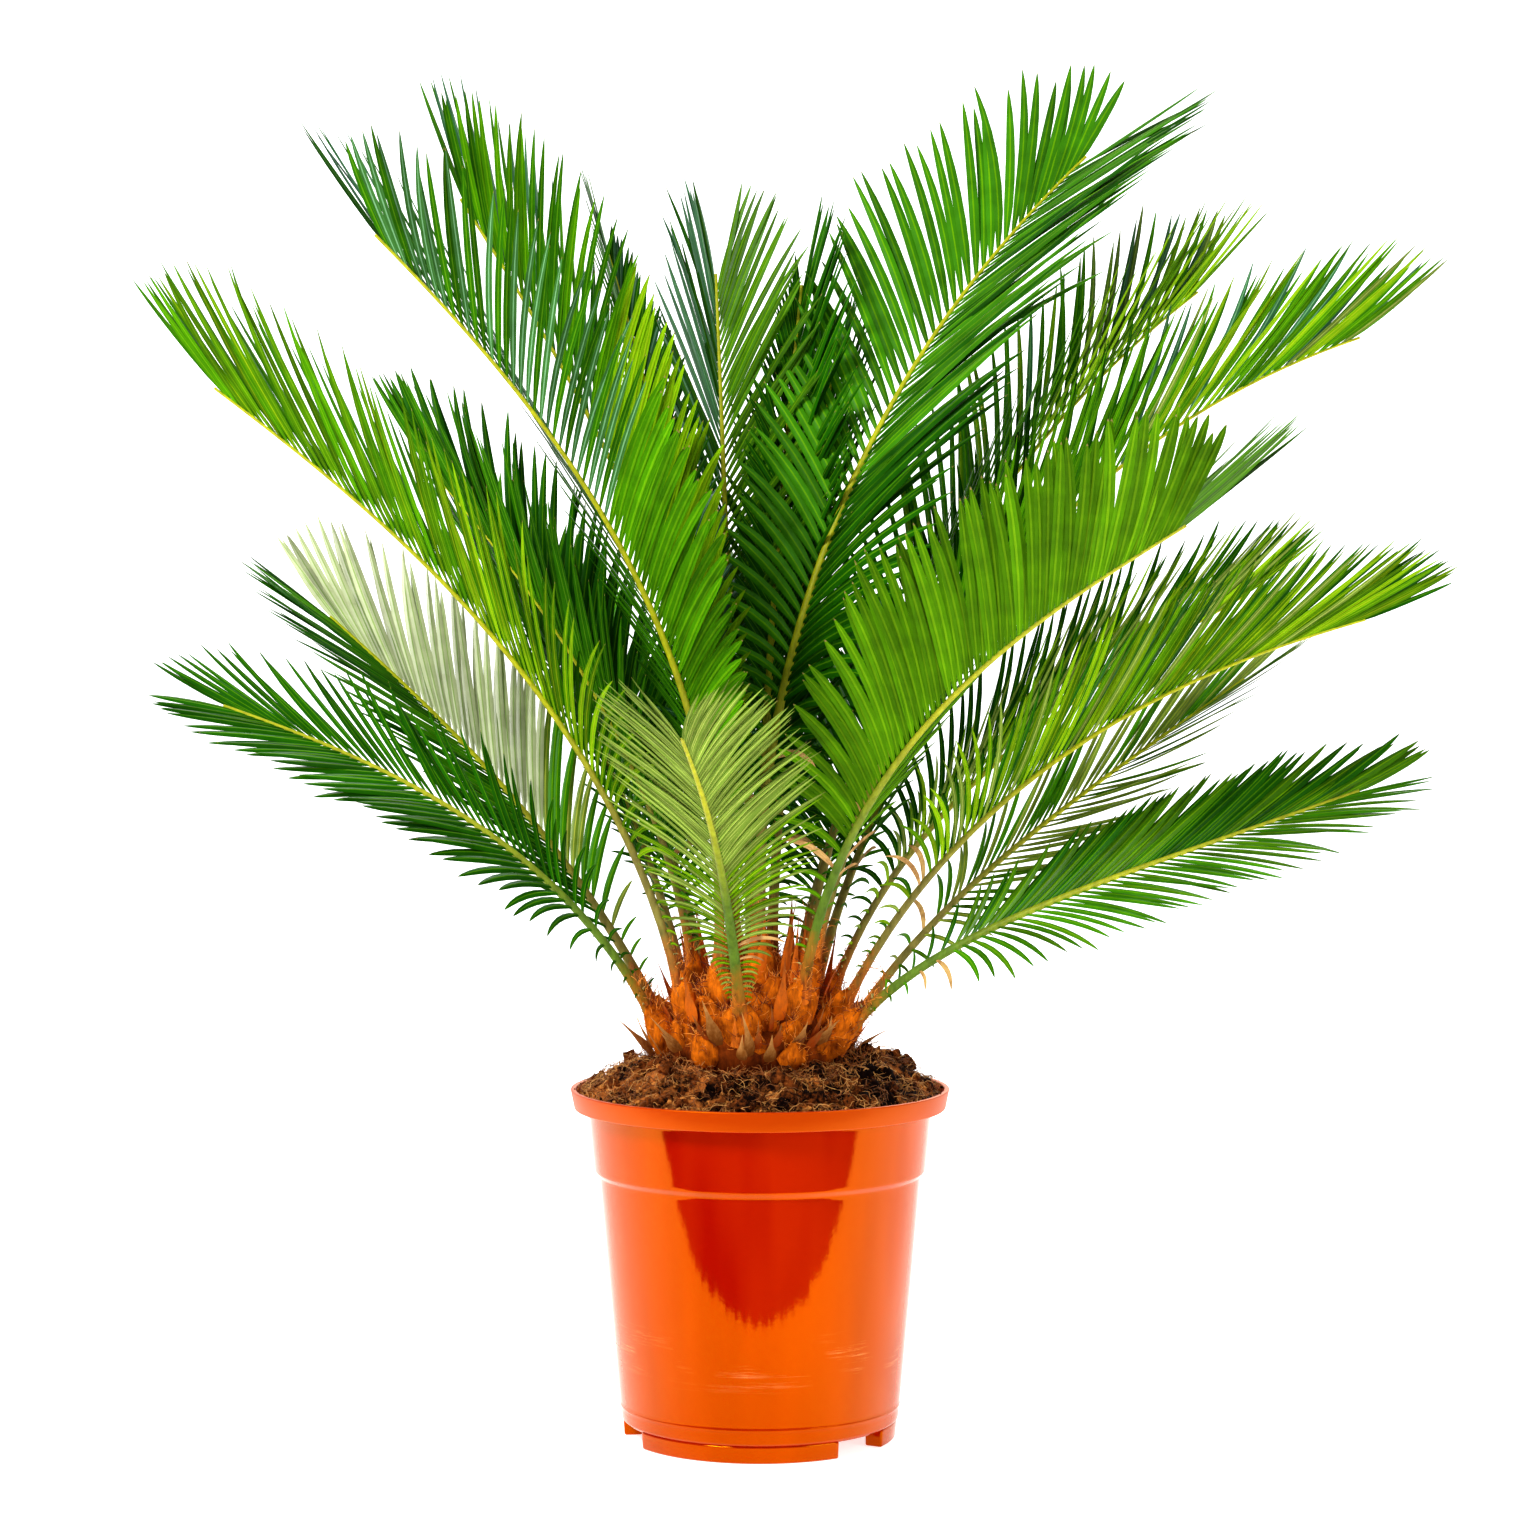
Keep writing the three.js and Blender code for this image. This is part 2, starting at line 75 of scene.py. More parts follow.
# fronds: places along the rib are shares of its length
SEAT_DEPTH, LEAFY_FROM, STALK, RIB_END = 4, 0.1, 0.2, 0.985
RIB_STALK_WIDTH, RIB_TIP_WIDTH, RIB_DEPTH, RIB_EASE, RIB_STEPS = 6.6, 1.8, 0.72, 1.6, 60
RIB_FOOT_SWELL, RIB_FOOT_LENGTH, RIB_DROP = 3.4, 17, 0.288

# leaflets, where a frond says nothing else. Places are shares of the leafy part, 0 at the end of the stalk.
LEAFLET_PITCH, LEAFLET_WIDTH, BLUNTNESS = 5.0, 4.5, 4.4
SWEEP, FOOT_SWEEP, TIP_SWEEP = 34, 64, 7
RECURVE, FOOT_RECURVE = 8, 40
SHORTEST, FULL_FROM, SHORTER_FROM = 0.18, 0.32, 0.78
SPINY_TO, DRY_TO, DRY_SHARE = 0.1, 0.09, 0.12
CLUMP_LENGTH, CLUMP_LIFT, CLUMP_ANGLE = 16, 9, 6
STRAY_LIFT, STRAY_ANGLE, STRAY_LENGTH, STRAY_BEND, STRAY_CURL = 2.0, 1.3, 0.03, 3, 0.04

# Each frond is seated at (heading, radius) on the caudex's dome and leans towards its own heading. Its rib
# climbs at rise degrees at its foot and at tip degrees at its end, and a larger ease spends that bend sooner.
# length is the rib's, leaf the longest leaflet's, vee is how far the two ranks fold up, and roll turns the
# frond round its rib. The rest departs from the usual leaflets. fold is a rank's own fold at its foot. sweep
# and tip_angle are its angles to the rib, at the middle and the tip, splay is how far it spreads at its foot,
# and recurve bends its leaflets away from the rib. reach scales their length, which is full from the place
# full_from. pitch spaces them, spread above 1 moves that space towards the tip, clump below 1 makes them more
# even, and blunt delays the taper of the inner ones. A pair holds the rank on the left, looking out along the
# frond (hand 1), before the rank on the right (hand -1). greens names the leaf colours of each rank, and
# outer gives the place past which the greens and the width are others.
FRONDS = {
    "front": dict(seat=(262, 40), heading=262, rise=66, tip=24, length=245, leaf=70, vee=25,
                  sweep=36, recurve=20, width=2.7, pitch=2.9, clump=0.6, greens=("sunny+sage", "sunny+sage"),
                  outer=(0.3, ("sage", "sage"), 3.2)),
    "left_1": dict(seat=(195, 44), heading=196, rise=66, tip=20, length=288, leaf=68, vee=10,
                   roll=45, width=(4.8, 3.2), greens=("deep", "deep")),
    "left_2": dict(seat=(160, 44), heading=165, rise=64, tip=40, length=285, leaf=88, vee=28,
                   roll=35, width=(4.5, 4.0), pitch=4.4, splay=0.4, clump=0.4, greens=("deep", "fresh+pale"),
                   outer=(0.3, ("deep+fresh", "washed"), (4.5, 4.4))),
    "left_3": dict(seat=(205, 36), heading=200, rise=79, tip=36, length=400, leaf=108, vee=55,
                   fold=(30, 55), sweep=28, tip_angle=15, clump=0.25, pitch=(4.7, 6.0), width=(2.9, 3.4),
                   spread=(1.12, 1.15), greens=("lime+sunny", "fresh"),
                   outer=(0.5, ("sunny+fresh+moss", "fresh"), (2.6, 2.9))),
    "left_4": dict(seat=(228, 28), heading=220, rise=98, tip=38, length=440, leaf=108, vee=48, fold=(4, 20),
                   reach=(0.85, 0.95), sweep=42, tip_angle=17, splay=0.3, clump=0.12, blunt=(11, 4.4),
                   pitch=(4.6, 5.6), spread=(1.3, 1.2), width=(4.9, 3.6), greens=("fresh", "deep"),
                   outer=(0.48, ("cool+deep", "cool+deep"), (3.3, 3.3))),
    "left_5": dict(seat=(205, 12), heading=205, rise=92, tip=55, length=415, leaf=108, vee=60,
                   fold=(20, 45), reach=(0.85, 1), sweep=38, tip_angle=15, splay=0.4, clump=0.2,
                   blunt=(7, 4.4), pitch=(4.6, 6.0), spread=(1.3, 1.2), width=(4.1, 4.0),
                   greens=("bright", "deep"), outer=(0.62, ("fresh+deep", "cool+fresh"), (3.4, 3.4))),
    "left_6": dict(seat=(172, 28), heading=165, rise=84, tip=48, length=310, leaf=90, vee=50,
                   greens=("deep", "deep")),
    "right_1": dict(seat=(330, 44), heading=344, rise=54, tip=20, ease=4, length=295, leaf=68, vee=10,
                    roll=-45, sweep=(27, 34), splay=(0.6, 1), clump=0.35, pitch=(4.3, 5.0), width=(5.0, 2.9),
                    greens=("deep+moss", "moss+fresh")),
    "right_2": dict(seat=(10, 44), heading=358, rise=60, tip=35, ease=2.5, length=275, leaf=70, vee=15,
                    roll=-20, fold=(15, -32), sweep=(34, 40), recurve=(8, -14), width=(3.2, 2.5),
                    greens=("pale+fresh", "pale+moss")),
    "right_3": dict(seat=(352, 39), heading=348, rise=66, tip=16, ease=1.3, length=345, leaf=88, vee=55,
                    sweep=30, width=(3.2, 2.6), pitch=(5.0, 4.2), clump=0.35,
                    greens=("deep", "sunny+lime+moss+sage")),
    "right_4": dict(seat=(26, 38), heading=10, rise=74, tip=29, ease=2, length=320, leaf=88, vee=50,
                    width=(3.3, 2.6), pitch=(5.0, 4.4), clump=0.5, greens=("deep", "lime+sunny+sage")),
    "right_5": dict(seat=(310, 34), heading=312, rise=82, tip=24, ease=2, length=365, leaf=108, vee=35,
                    sweep=40, tip_angle=24, splay=0.6, clump=0.18, blunt=(6, 9), pitch=4.5, width=(4.4, 5.0),
                    greens=("moss", "moss")),
    "right_6": dict(seat=(0, 26), heading=8, rise=80, tip=18, ease=1, length=460, leaf=100, vee=55,
                    sweep=32, tip_angle=18, width=(3.2, 3.4), pitch=(6.6, 6.2), clump=0.6,
                    greens=("deep+fresh", "fresh"), outer=(0.62, ("cool+fresh", "fresh+sage+lime"), 3.2)),
    "right_7": dict(seat=(36, 26), heading=28, rise=80, tip=34, ease=1.1, length=450, leaf=100, vee=50,
                    sweep=32, tip_angle=18, width=3.2, pitch=(6.6, 6.2), clump=0.6,
                    greens=("fresh+lime", "deep+fresh"),
                    outer=(0.6, ("lime+cool+sage+fresh", "moss+lime"), 3.2)),
    "right_8": dict(seat=(280, 14), heading=38, rise=94, tip=38, ease=1.3, length=500, leaf=120, vee=18,
                    roll=-15, sweep=(44, 37), tip_angle=(14, 40), recurve=(8, 12), clump=0.4,
                    pitch=(7.0, 5.0), full_from=(0.62, 0.32), width=(5.4, 5.8), greens=("fresh", "deep"),
                    outer=(0.4, ("fresh", "fresh+fresh+deep"), (5.4, 5.6))),
    "back_1": dict(seat=(135, 12), heading=128, rise=88, tip=64, length=390, leaf=90, vee=45,
                   reach=(1, 0.42), greens=("deep+fresh", "cool+deep")),
    "back_2": dict(seat=(112, 26), heading=98, rise=88, tip=72, length=380, leaf=90, vee=40,
                   sweep=(28, 40), tip_angle=(7, 18), pitch=5.2, width=4.0, greens=("cool+deep", "moss")),
    "back_3": dict(seat=(80, 12), heading=74, rise=88, tip=70, length=365, leaf=84, vee=40,
                   reach=(0.42, 1), greens=("deep", "deep")),
    "back_4": dict(seat=(72, 26), heading=72, rise=86, tip=62, length=340, leaf=84, vee=45,
                   greens=("deep", "deep")),
    "back_5": dict(seat=(140, 40), heading=138, rise=76, tip=44, length=300, leaf=86, vee=45,
                   greens=("deep", "fresh")),
    "back_6": dict(seat=(116, 44), heading=114, rise=66, tip=26, length=310, leaf=84, vee=35,
                   greens=("deep", "fresh")),
    "back_7": dict(seat=(92, 40), heading=92, rise=70, tip=34, length=320, leaf=84, vee=35,
                   greens=("fresh", "deep")),
    "back_8": dict(seat=(68, 44), heading=70, rise=66, tip=26, length=310, leaf=84, vee=35,
                   greens=("deep", "fresh")),
    "back_9": dict(seat=(48, 40), heading=46, rise=74, tip=36, length=320, leaf=86, vee=45,
                   greens=("deep", "fresh")),
}


# ---------------------------------------------------------------- shader maths
class Wire:
    """A socket whose operators add Math nodes."""

    def __init__(self, recipe, socket):
        self.recipe, self.socket = recipe, socket

    def _math(self, operation, first, second):
        return self.recipe.node("Math", {"operation": operation}, {0: first, 1: second})

    def __add__(self, other):
        return self._math("ADD", self, other)

    def __sub__(self, other):
        return self._math("SUBTRACT", self, other)

    def __rsub__(self, other):
        return self._math("SUBTRACT", other, self)

    def __mul__(self, other):
        return self._math("MULTIPLY", self, other)

    __radd__, __rmul__ = __add__, __mul__


class Recipe:
    """One material: its Principled shader, and the nodes that feed it."""

    def __init__(self, name, **fixed):
        self.material = bpy.data.materials.new(name)
        self.material.use_nodes = True
        self.tree = self.material.node_tree
        self.surface = self.tree.nodes["Principled BSDF"]
        for socket, value in fixed.items():
            self.surface.inputs[socket.replace("_", " ")].default_value = value

    def node(self, kind, settings=None, sockets=None, output=0):
        """Adds a node: its settings first, then the values or links of its sockets."""
        made = self.tree.nodes.new("ShaderNode" + kind)
        for key, value in (settings or {}).items():
            setattr(made, key, value)
        for key, value in (sockets or {}).items():
            self._feed(made.inputs[key], value)
        return Wire(self, made.outputs[output])

    def _feed(self, socket, value):
        if isinstance(value, Wire):
            self.tree.links.new(value.socket, socket)
        elif isinstance(value, tuple) and len(value) == 3 and socket.type == "RGBA":
            socket.default_value = (*value, 1)
        else:
            socket.default_value = value

    def feed(self, socket, value):
        """Sets one of the shader's own sockets."""
        self._feed(self.surface.inputs[socket], value)

    def place(self, scale=(1, 1, 1)):
        """Object coordinates, stretched by scale."""
        at = self.node("TexCoord", output="Object")
        return self.node("Mapping", None, {"Vector": at, "Scale": scale})

    def noise(self, size, detail=3, rough=0.5, stretch=(1, 1, 1)):
        """Cloudy noise from 0 to 1 whose patches are about size metres wide."""
        sockets = {"Vector": self.place(stretch), "Scale": 1 / size, "Detail": detail, "Roughness": rough}
        return self.node("TexNoise", None, sockets)

    def between(self, value, low, high, to_low=0.0, to_high=1.0):
        """value's stretch from low to high, spread over to_low to to_high and held there."""
        ends = {"From Min": low, "From Max": high, "To Min": to_low, "To Max": to_high}
        return self.node("MapRange", {"clamp": True}, {"Value": value, **ends})

    def mix(self, factor, first, second):
        """One colour mixed into another. A Mix node's colours are its sockets 6 and 7, and come out at 2."""
        return self.node("Mix", {"data_type": "RGBA"}, {0: factor, 6: first, 7: second}, output=2)

    def raise_by(self, height, depth):
        """Relief of a real depth in metres."""
        self.feed("Normal", self.node("Bump", None, {"Height": height, "Distance": depth, "Strength": 1.0}))


def shade(colour, factor):
    """A colour made lighter or darker."""
    return tuple(min(1.0, part * factor) for part in colour)


# ---------------------------------------------------------------- leaf colours
# each: upper side, underside, midline, gloss of the upper side
GREENS = {
    "fresh": ((0.044, 0.190, 0.002), (0.070, 0.24, 0.0015), (0.115, 0.29, 0.003), 0.12),
    "sunny": ((0.070, 0.20, 0.002), (0.085, 0.21, 0.0015), (0.21, 0.31, 0.005), 0.15),
    "lime": ((0.125, 0.28, 0.003), (0.185, 0.36, 0.004), (0.27, 0.38, 0.008), 0.15),
    # painted light: a lighter lime for a rank that the lamps leave in shade
    "bright": ((0.16, 0.34, 0.003), (0.24, 0.46, 0.005), (0.30, 0.46, 0.008), 0.15),
    "deep": ((0.014, 0.100, 0.001), (0.030, 0.14, 0.002), (0.075, 0.21, 0.004), 0.08),
    "moss": ((0.055, 0.165, 0.002), (0.080, 0.21, 0.002), (0.13, 0.27, 0.004), 0.12),
    # sage green with a painted greyish sheen on it
    "sage": ((0.120, 0.21, 0.030), (0.165, 0.25, 0.035), (0.32, 0.39, 0.08), 0.3),
    # teal green with a painted bluish sheen, standing for reflected sky
    "cool": ((0.024, 0.120, 0.040), (0.050, 0.155, 0.035), (0.15, 0.32, 0.15), 0.5),
    "pale": ((0.17, 0.25, 0.025), (0.22, 0.29, 0.03), (0.40, 0.43, 0.07), 0.3),
    # painted reflection: a whitish sheen over pale green
    "washed": ((0.42, 0.46, 0.26), (0.42, 0.47, 0.27), (0.26, 0.36, 0.12), 0.4),
}
SIDES = ("upper", "under", "midline")


def leaf_surface(green, side, colour, gloss):
    """Waxy leaf skin: each leaflet has its own tone, over faint mottling."""
    level = gloss if side == "upper" else 0.03
    recipe = Recipe(f"leaf_{green}_{side}", Specular_IOR_Level=level)
    tone = recipe.node("Attribute", {"attribute_name": "tone"}, output="Fac")
    mottle = recipe.noise(14 * MM, detail=4)
    amount = recipe.between(tone * 0.36 + mottle * 0.9, 0.05, 0.95)
    recipe.feed("Base Color", recipe.mix(amount, shade(colour, 0.6), shade(colour, 1.4)))
    base = {"upper": 0.32, "under": 0.55, "midline": 0.5}[side]
    recipe.feed("Roughness", recipe.between(mottle, 0.3, 0.7, base - 0.06, base + 0.1))
    recipe.raise_by(recipe.noise(1.6 * MM, detail=2), 0.06 * MM)
    return recipe.material


def leaf_tip():
    """The dry brown point of a leaflet."""
    recipe = Recipe("leaf_tip", Roughness=0.55)
    grain = recipe.noise(2 * MM)
    recipe.feed("Base Color", recipe.mix(grain, (0.16, 0.11, 0.02), (0.34, 0.27, 0.05)))
    return recipe.material


def dry_leaf():
    """Dead leaflets: tan, with brown patches."""
    recipe = Recipe("dry_leaf", Roughness=0.75)
    patches = recipe.between(recipe.noise(6 * MM, detail=5), 0.4, 0.62)
    recipe.feed("Base Color", recipe.mix(patches, (0.62, 0.38, 0.13), (0.34, 0.16, 0.045)))
    recipe.raise_by(recipe.noise(1.5 * MM), 0.2 * MM)
    return recipe.material


def rib_skin(name, stalk, upper):
    """A frond's rib: woolly orange at its seat, then the stalk's colour, and yellow further out."""
    recipe = Recipe(name, Specular_IOR_Level=0.2)
    at = recipe.node("TexCoord", output="Object")
    middle = (CAUDEX_X * MM, 0, 0.19)
    offset = recipe.node("VectorMath", {"operation": "SUBTRACT"}, {0: at, 1: middle})
    reach = recipe.node("VectorMath", {"operation": "LENGTH"}, {0: offset}, output="Value")
    ragged = reach + (recipe.noise(5 * MM, detail=5) - 0.5) * (24 * MM)
    grain = recipe.between(recipe.noise(3.5 * MM, detail=6, rough=0.65, stretch=(1, 1, 0.2)), 0.35, 0.65)
    wool = recipe.mix(grain, (0.78, 0.20, 0.012), (0.20, 0.035, 0.003))
    bark = recipe.mix(grain, shade(stalk, 0.75), shade(stalk, 1.3))
    fresh = recipe.mix(grain, shade(upper, 0.8), shade(upper, 1.2))
    lower = recipe.mix(recipe.between(ragged, 0.055, 0.085), wool, bark)
    recipe.feed("Base Color", recipe.mix(recipe.between(ragged, 0.12, 0.21), lower, fresh))
    recipe.feed("Roughness", recipe.between(reach, 0.06, 0.14, 0.8, 0.42))
    threads = recipe.noise(1.4 * MM, detail=5, rough=0.7, stretch=(1, 1, 0.2))
    recipe.raise_by(threads * recipe.between(ragged, 0.05, 0.1, 1, 0.25), 0.9 * MM)
    return recipe.material


def pot_plastic():
    """Glossy orange plastic: a duller lip, painted shade near the floor, and pale scuffs round the lower
    wall.
    """
    recipe = Recipe("pot_plastic", IOR=1.8, Specular_IOR_Level=1.0, Specular_Tint=(1, 0.36, 0.0, 1))
    at = recipe.node("TexCoord", output="Object")
    height = recipe.node("SeparateXYZ", None, {"Vector": at}, output="Z")
    cloud = recipe.noise(60 * MM, detail=2)
    bands = recipe.between(recipe.noise(30 * MM, detail=2, stretch=(1, 1, 0.12)), 0.35, 0.65)
    moulding = recipe.mix(bands, (0.33, 0.003, 0.0002), (0.43, 0.018, 0.0006))
    streaks = recipe.noise(14 * MM, detail=7, rough=0.75, stretch=(0.3, 0.3, 7))
    patches = recipe.noise(22 * MM, detail=2, stretch=(0.5, 0.5, 1))
    low = recipe.between(height, 0.034, 0.046) * recipe.between(height, 0.066, 0.054)
    scuffs = recipe.between(streaks, 0.52, 0.66) * recipe.between(patches, 0.46, 0.58) * low
    lip = recipe.between(height, 0.1645, 0.1655)
    coloured = recipe.mix(lip, moulding, (0.42, 0.022, 0.001))
    # painted shade: the colour darkens over the lowest 70 mm towards the floor
    coloured = recipe.mix(recipe.between(height, 0.07, 0.0, 0, 0.3), coloured, (0.22, 0.002, 0.0001))
    recipe.feed("Base Color", recipe.mix(scuffs * 0.45, coloured, (0.90, 0.36, 0.18)))
    recipe.feed("Roughness", 0.055 + scuffs * 0.3 + lip * 0.34 + cloud * 0.03)
    ripple = recipe.noise(26 * MM, detail=2, stretch=(1, 1, 0.35)) + recipe.noise(2.2 * MM, detail=3) * 0.10
    recipe.raise_by(ripple, 0.15 * MM)
    return recipe.material


def peat(name, dark, light, size):
    """Peat: dark and moist in the hollows, lighter on fibres and crumbs, and drier on the pot's left."""
    recipe = Recipe(name, Specular_IOR_Level=0.08)
    crumbs = recipe.noise(size, detail=8, rough=0.75)
    fibre = recipe.noise(size * 0.6, detail=5, rough=0.7, stretch=(1, 0.2, 1))
    moist = recipe.noise(13 * MM, detail=3)
    at = recipe.node("TexCoord", output="Object")
    across = recipe.node("SeparateXYZ", None, {"Vector": at}, output="X")
    dry = recipe.between(across, -0.07, 0.05, 0.06, -0.05)
    amount = recipe.between(crumbs * 0.6 + fibre * 0.5 + moist * 0.8 + dry, 0.89, 1.11)
    recipe.feed("Base Color", recipe.mix(amount, dark, light))
    recipe.feed("Roughness", recipe.between(crumbs, 0.3, 0.7, 0.7, 0.98))
    recipe.raise_by(crumbs, size * 0.5)
    return recipe.material


def wool_skin(name, dark, light, size=3.5 * MM):
    """The caudex's matted fibres."""
    recipe = Recipe(name, Specular_IOR_Level=0.06)
    clumps = recipe.noise(size * 3, detail=4)
    threads = recipe.noise(size, detail=8, rough=0.72, stretch=(1, 1, 0.3))
    amount = recipe.between(threads * 0.65 + clumps * 0.6, 0.42, 0.80)
    recipe.feed("Base Color", recipe.mix(amount, dark, light))
    recipe.feed("Roughness", recipe.between(threads, 0.3, 0.7, 0.7, 0.95))
    recipe.raise_by(threads, size * 0.45)
    return recipe.material


def scale_skin(name, foot, tip):
    """A woody scale, from its foot to its dry tip along its own length."""
    recipe = Recipe(name, Roughness=0.8, Specular_IOR_Level=0.1)
    unwrapped = recipe.node("UVMap", {"uv_map": "UVMap"})
    along = recipe.node("SeparateXYZ", None, {"Vector": unwrapped}, output="Y")
    grain = recipe.noise(2.2 * MM, detail=6, rough=0.7, stretch=(1, 1, 0.3))
    amount = recipe.between(along + (grain - 0.5) * 1.6, 0.1, 0.9)
    recipe.feed("Base Color", recipe.mix(amount, foot, tip))
    recipe.raise_by(grain, 0.5 * MM)
    return recipe.material


def plain_thread(name, dark, light):
    """Threads, hairs and thorns: two tones in soft patches."""
    recipe = Recipe(name, Roughness=0.7)
    recipe.feed("Base Color", recipe.mix(recipe.noise(7 * MM, detail=3), dark, light))
    return recipe.material


# ---------------------------------------------------------------- pieces
def add_piece(name, mesh, materials, replaced=()):
    """Puts a finished mesh in the scene, on the plant's one body."""
    piece = bpy.data.objects.new(name, mesh)
    bpy.context.scene.collection.objects.link(piece)
    for material in materials:
        mesh.materials.append(material)
    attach(piece, "root")
    if replaced:
        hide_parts(*replaced)


def mesh_from(solid, name, smooth_under=40):
    """Ends a bmesh: a mesh with smooth faces and sharp edges over an angle."""
    mesh = bpy.data.meshes.new(name)
    bmesh.ops.recalc_face_normals(solid, faces=solid.faces)
    solid.to_mesh(mesh)
    solid.free()
    mesh.shade_smooth()
    mesh.set_sharp_from_angle(angle=math.radians(smooth_under))
    return mesh


def spun(solid, profile, steps, angle=360.0, start=0.0, closed=False):
    """Spins a profile of (radius, height) pairs in millimetres round the Z axis."""
    turn = Matrix.Rotation(math.radians(start), 4, "Z")
    corners = [solid.verts.new(turn @ Vector((radius * MM, 0, height * MM))) for radius, height in profile]
    if closed:
        geometry = [solid.faces.new(corners)]
        geometry += list(geometry[0].edges) + corners
    else:
        geometry = corners + [solid.edges.new(pair) for pair in zip(corners, corners[1:])]
    full = angle == 360.0
    bmesh.ops.spin(solid, geom=geometry, cent=(0, 0, 0), axis=(0, 0, 1), angle=math.radians(angle),
                   steps=steps, use_merge=full, use_duplicate=False)
    if full:
        bmesh.ops.remove_doubles(solid, verts=solid.verts, dist=1e-6)


def round_edges(solid, offset, segments, over=28):
    """Bevels every edge whose two faces turn by more than an angle."""
    bmesh.ops.recalc_face_normals(solid, faces=solid.faces)
    least = math.radians(over)
    turned = [edge for edge in solid.edges if edge.is_manifold and edge.calc_face_angle() > least]
    bmesh.ops.bevel(solid, geom=turned, offset=offset, segments=segments, affect="EDGES", profile=0.5,
                    material=-1, clamp_overlap=True)


# ---------------------------------------------------------------- pot
LIP_FOOT = POT_HEIGHT - LIP_HEIGHT
COLLAR_FOOT = LIP_FOOT - COLLAR_HEIGHT
FLOOR_TOP = FOOT_HEIGHT + WALL_THICKNESS
BRIM_RADIUS = RIM_RADIUS - LIP_THICKNESS - LIP_TAPER


def wall_radius(height):
    """Outside of the wall below the collar."""
    share = (height - FLOOR_TOP) / (COLLAR_FOOT - LEDGE - FLOOR_TOP)
    return WALL_FOOT_RADIUS + (COLLAR_FOOT_RADIUS - LEDGE - WALL_FOOT_RADIUS) * share


def inner_profile(inset):
    """Inner face of the pot from its floor to its lip."""
    return [
        (WALL_FOOT_RADIUS - inset, FLOOR_TOP + inset - WALL_THICKNESS),
        (COLLAR_FOOT_RADIUS - LEDGE - inset, COLLAR_FOOT - LEDGE),
        (COLLAR_FOOT_RADIUS - inset, COLLAR_FOOT),
        (COLLAR_TOP_RADIUS - inset, LIP_FOOT),
        (RIM_RADIUS - LIP_THICKNESS - LIP_TAPER / 2, LIP_FOOT + LIP_THICKNESS),
    ]


def make_pot():
    """The pot's shell with its lip, collar, ledge and parting line, on three feet."""
    solid = bmesh.new()
    floor_radius = WALL_FOOT_RADIUS - WALL_THICKNESS
    outer = [(0, FOOT_HEIGHT), (floor_radius, FOOT_HEIGHT), (WALL_FOOT_RADIUS, FLOOR_TOP)]
    for rise, proud in ((-2.5, 0), (-0.7, 0), (0, PARTING_PROUD), (0.7, 0), (2.5, 0)):
        outer.append((wall_radius(PARTING_HEIGHT + rise) + proud, PARTING_HEIGHT + rise))
    outer += [(wall_radius(height), height) for height in (30, 60, 90, COLLAR_FOOT - LEDGE - 2.5)]
    collar_slope = (COLLAR_TOP_RADIUS - COLLAR_FOOT_RADIUS) / COLLAR_HEIGHT
    outer += [
        (COLLAR_FOOT_RADIUS - LEDGE, COLLAR_FOOT - LEDGE),
        (COLLAR_FOOT_RADIUS, COLLAR_FOOT),
        (COLLAR_FOOT_RADIUS + 2 * collar_slope, COLLAR_FOOT + 2),
        (COLLAR_TOP_RADIUS - 2 * collar_slope, LIP_FOOT - 2),
        (COLLAR_TOP_RADIUS, LIP_FOOT),
        (RIM_RADIUS - LIP_TAPER, LIP_FOOT),
        (RIM_RADIUS, POT_HEIGHT),
        (RIM_RADIUS - LIP_THICKNESS, POT_HEIGHT),
    ]
    spun(solid, [*outer, *reversed(inner_profile(WALL_THICKNESS)), (0, FLOOR_TOP)], POT_STEPS)
    round_edges(solid, offset=0.7 * MM, segments=3)
    feet = bmesh.new()
    for foot in range(FEET):
        start = FOOT_HEADING + 360 * foot / FEET - FOOT_ANGLE / 2
        inside, top = FOOT_RADIUS - FOOT_RING_WIDTH, FOOT_HEIGHT + FOOT_ROOT
        section = [(inside, 0), (FOOT_RADIUS, 0), (FOOT_RADIUS + FOOT_ROOT, top), (inside, top)]
        spun(feet, section, FOOT_STEPS, FOOT_ANGLE, start, closed=True)
    radius, tall = CENTRE_PAD_RADIUS * MM, (FOOT_HEIGHT + FOOT_ROOT) * MM
    pad = bmesh.ops.create_cone(feet, segments=PAD_STEPS, radius1=radius, radius2=radius, depth=tall,
                                cap_ends=True)
    bmesh.ops.translate(feet, verts=pad["verts"], vec=(0, 0, tall / 2))
    round_edges(feet, offset=0.9 * MM, segments=3, over=50)
    solid.from_mesh(mesh_from(feet, "feet"))
    shell = mesh_from(solid, "nursery_pot")
    add_piece("nursery_pot", shell, [pot_plastic()], ["pot"])


# ---------------------------------------------------------------- soil
def soil_height(x, y):
    """Top of the soil in millimetres: level round the caudex, falling to the lip, heaped and crumbly."""
    radius = math.hypot(x, y)
    share = min(1.0, max(0.0, (radius - SOIL_FLAT_RADIUS) / (BRIM_RADIUS - SOIL_FLAT_RADIUS)))
    level = SOIL_TOP - 5
    height = level - (level - SOIL_AT_LIP) * share ** 1.4
    heaps = sum(tall * math.exp(-((x - heap_x) ** 2 + (y - heap_y) ** 2) / spread)
                for tall, heap_x, heap_y, spread in SOIL_HEAPS)
    clods = 3.6 * noise.fractal(Vector((x, y, 3)) / 14, 0.7, 2.1, 4)
    crumbs = 2.1 * noise.fractal(Vector((x, y, 9)) / 4.2, 0.8, 2.2, 4)
    calm = 1 - 0.65 * share ** 4
    return height + (heaps + clods + crumbs) * calm


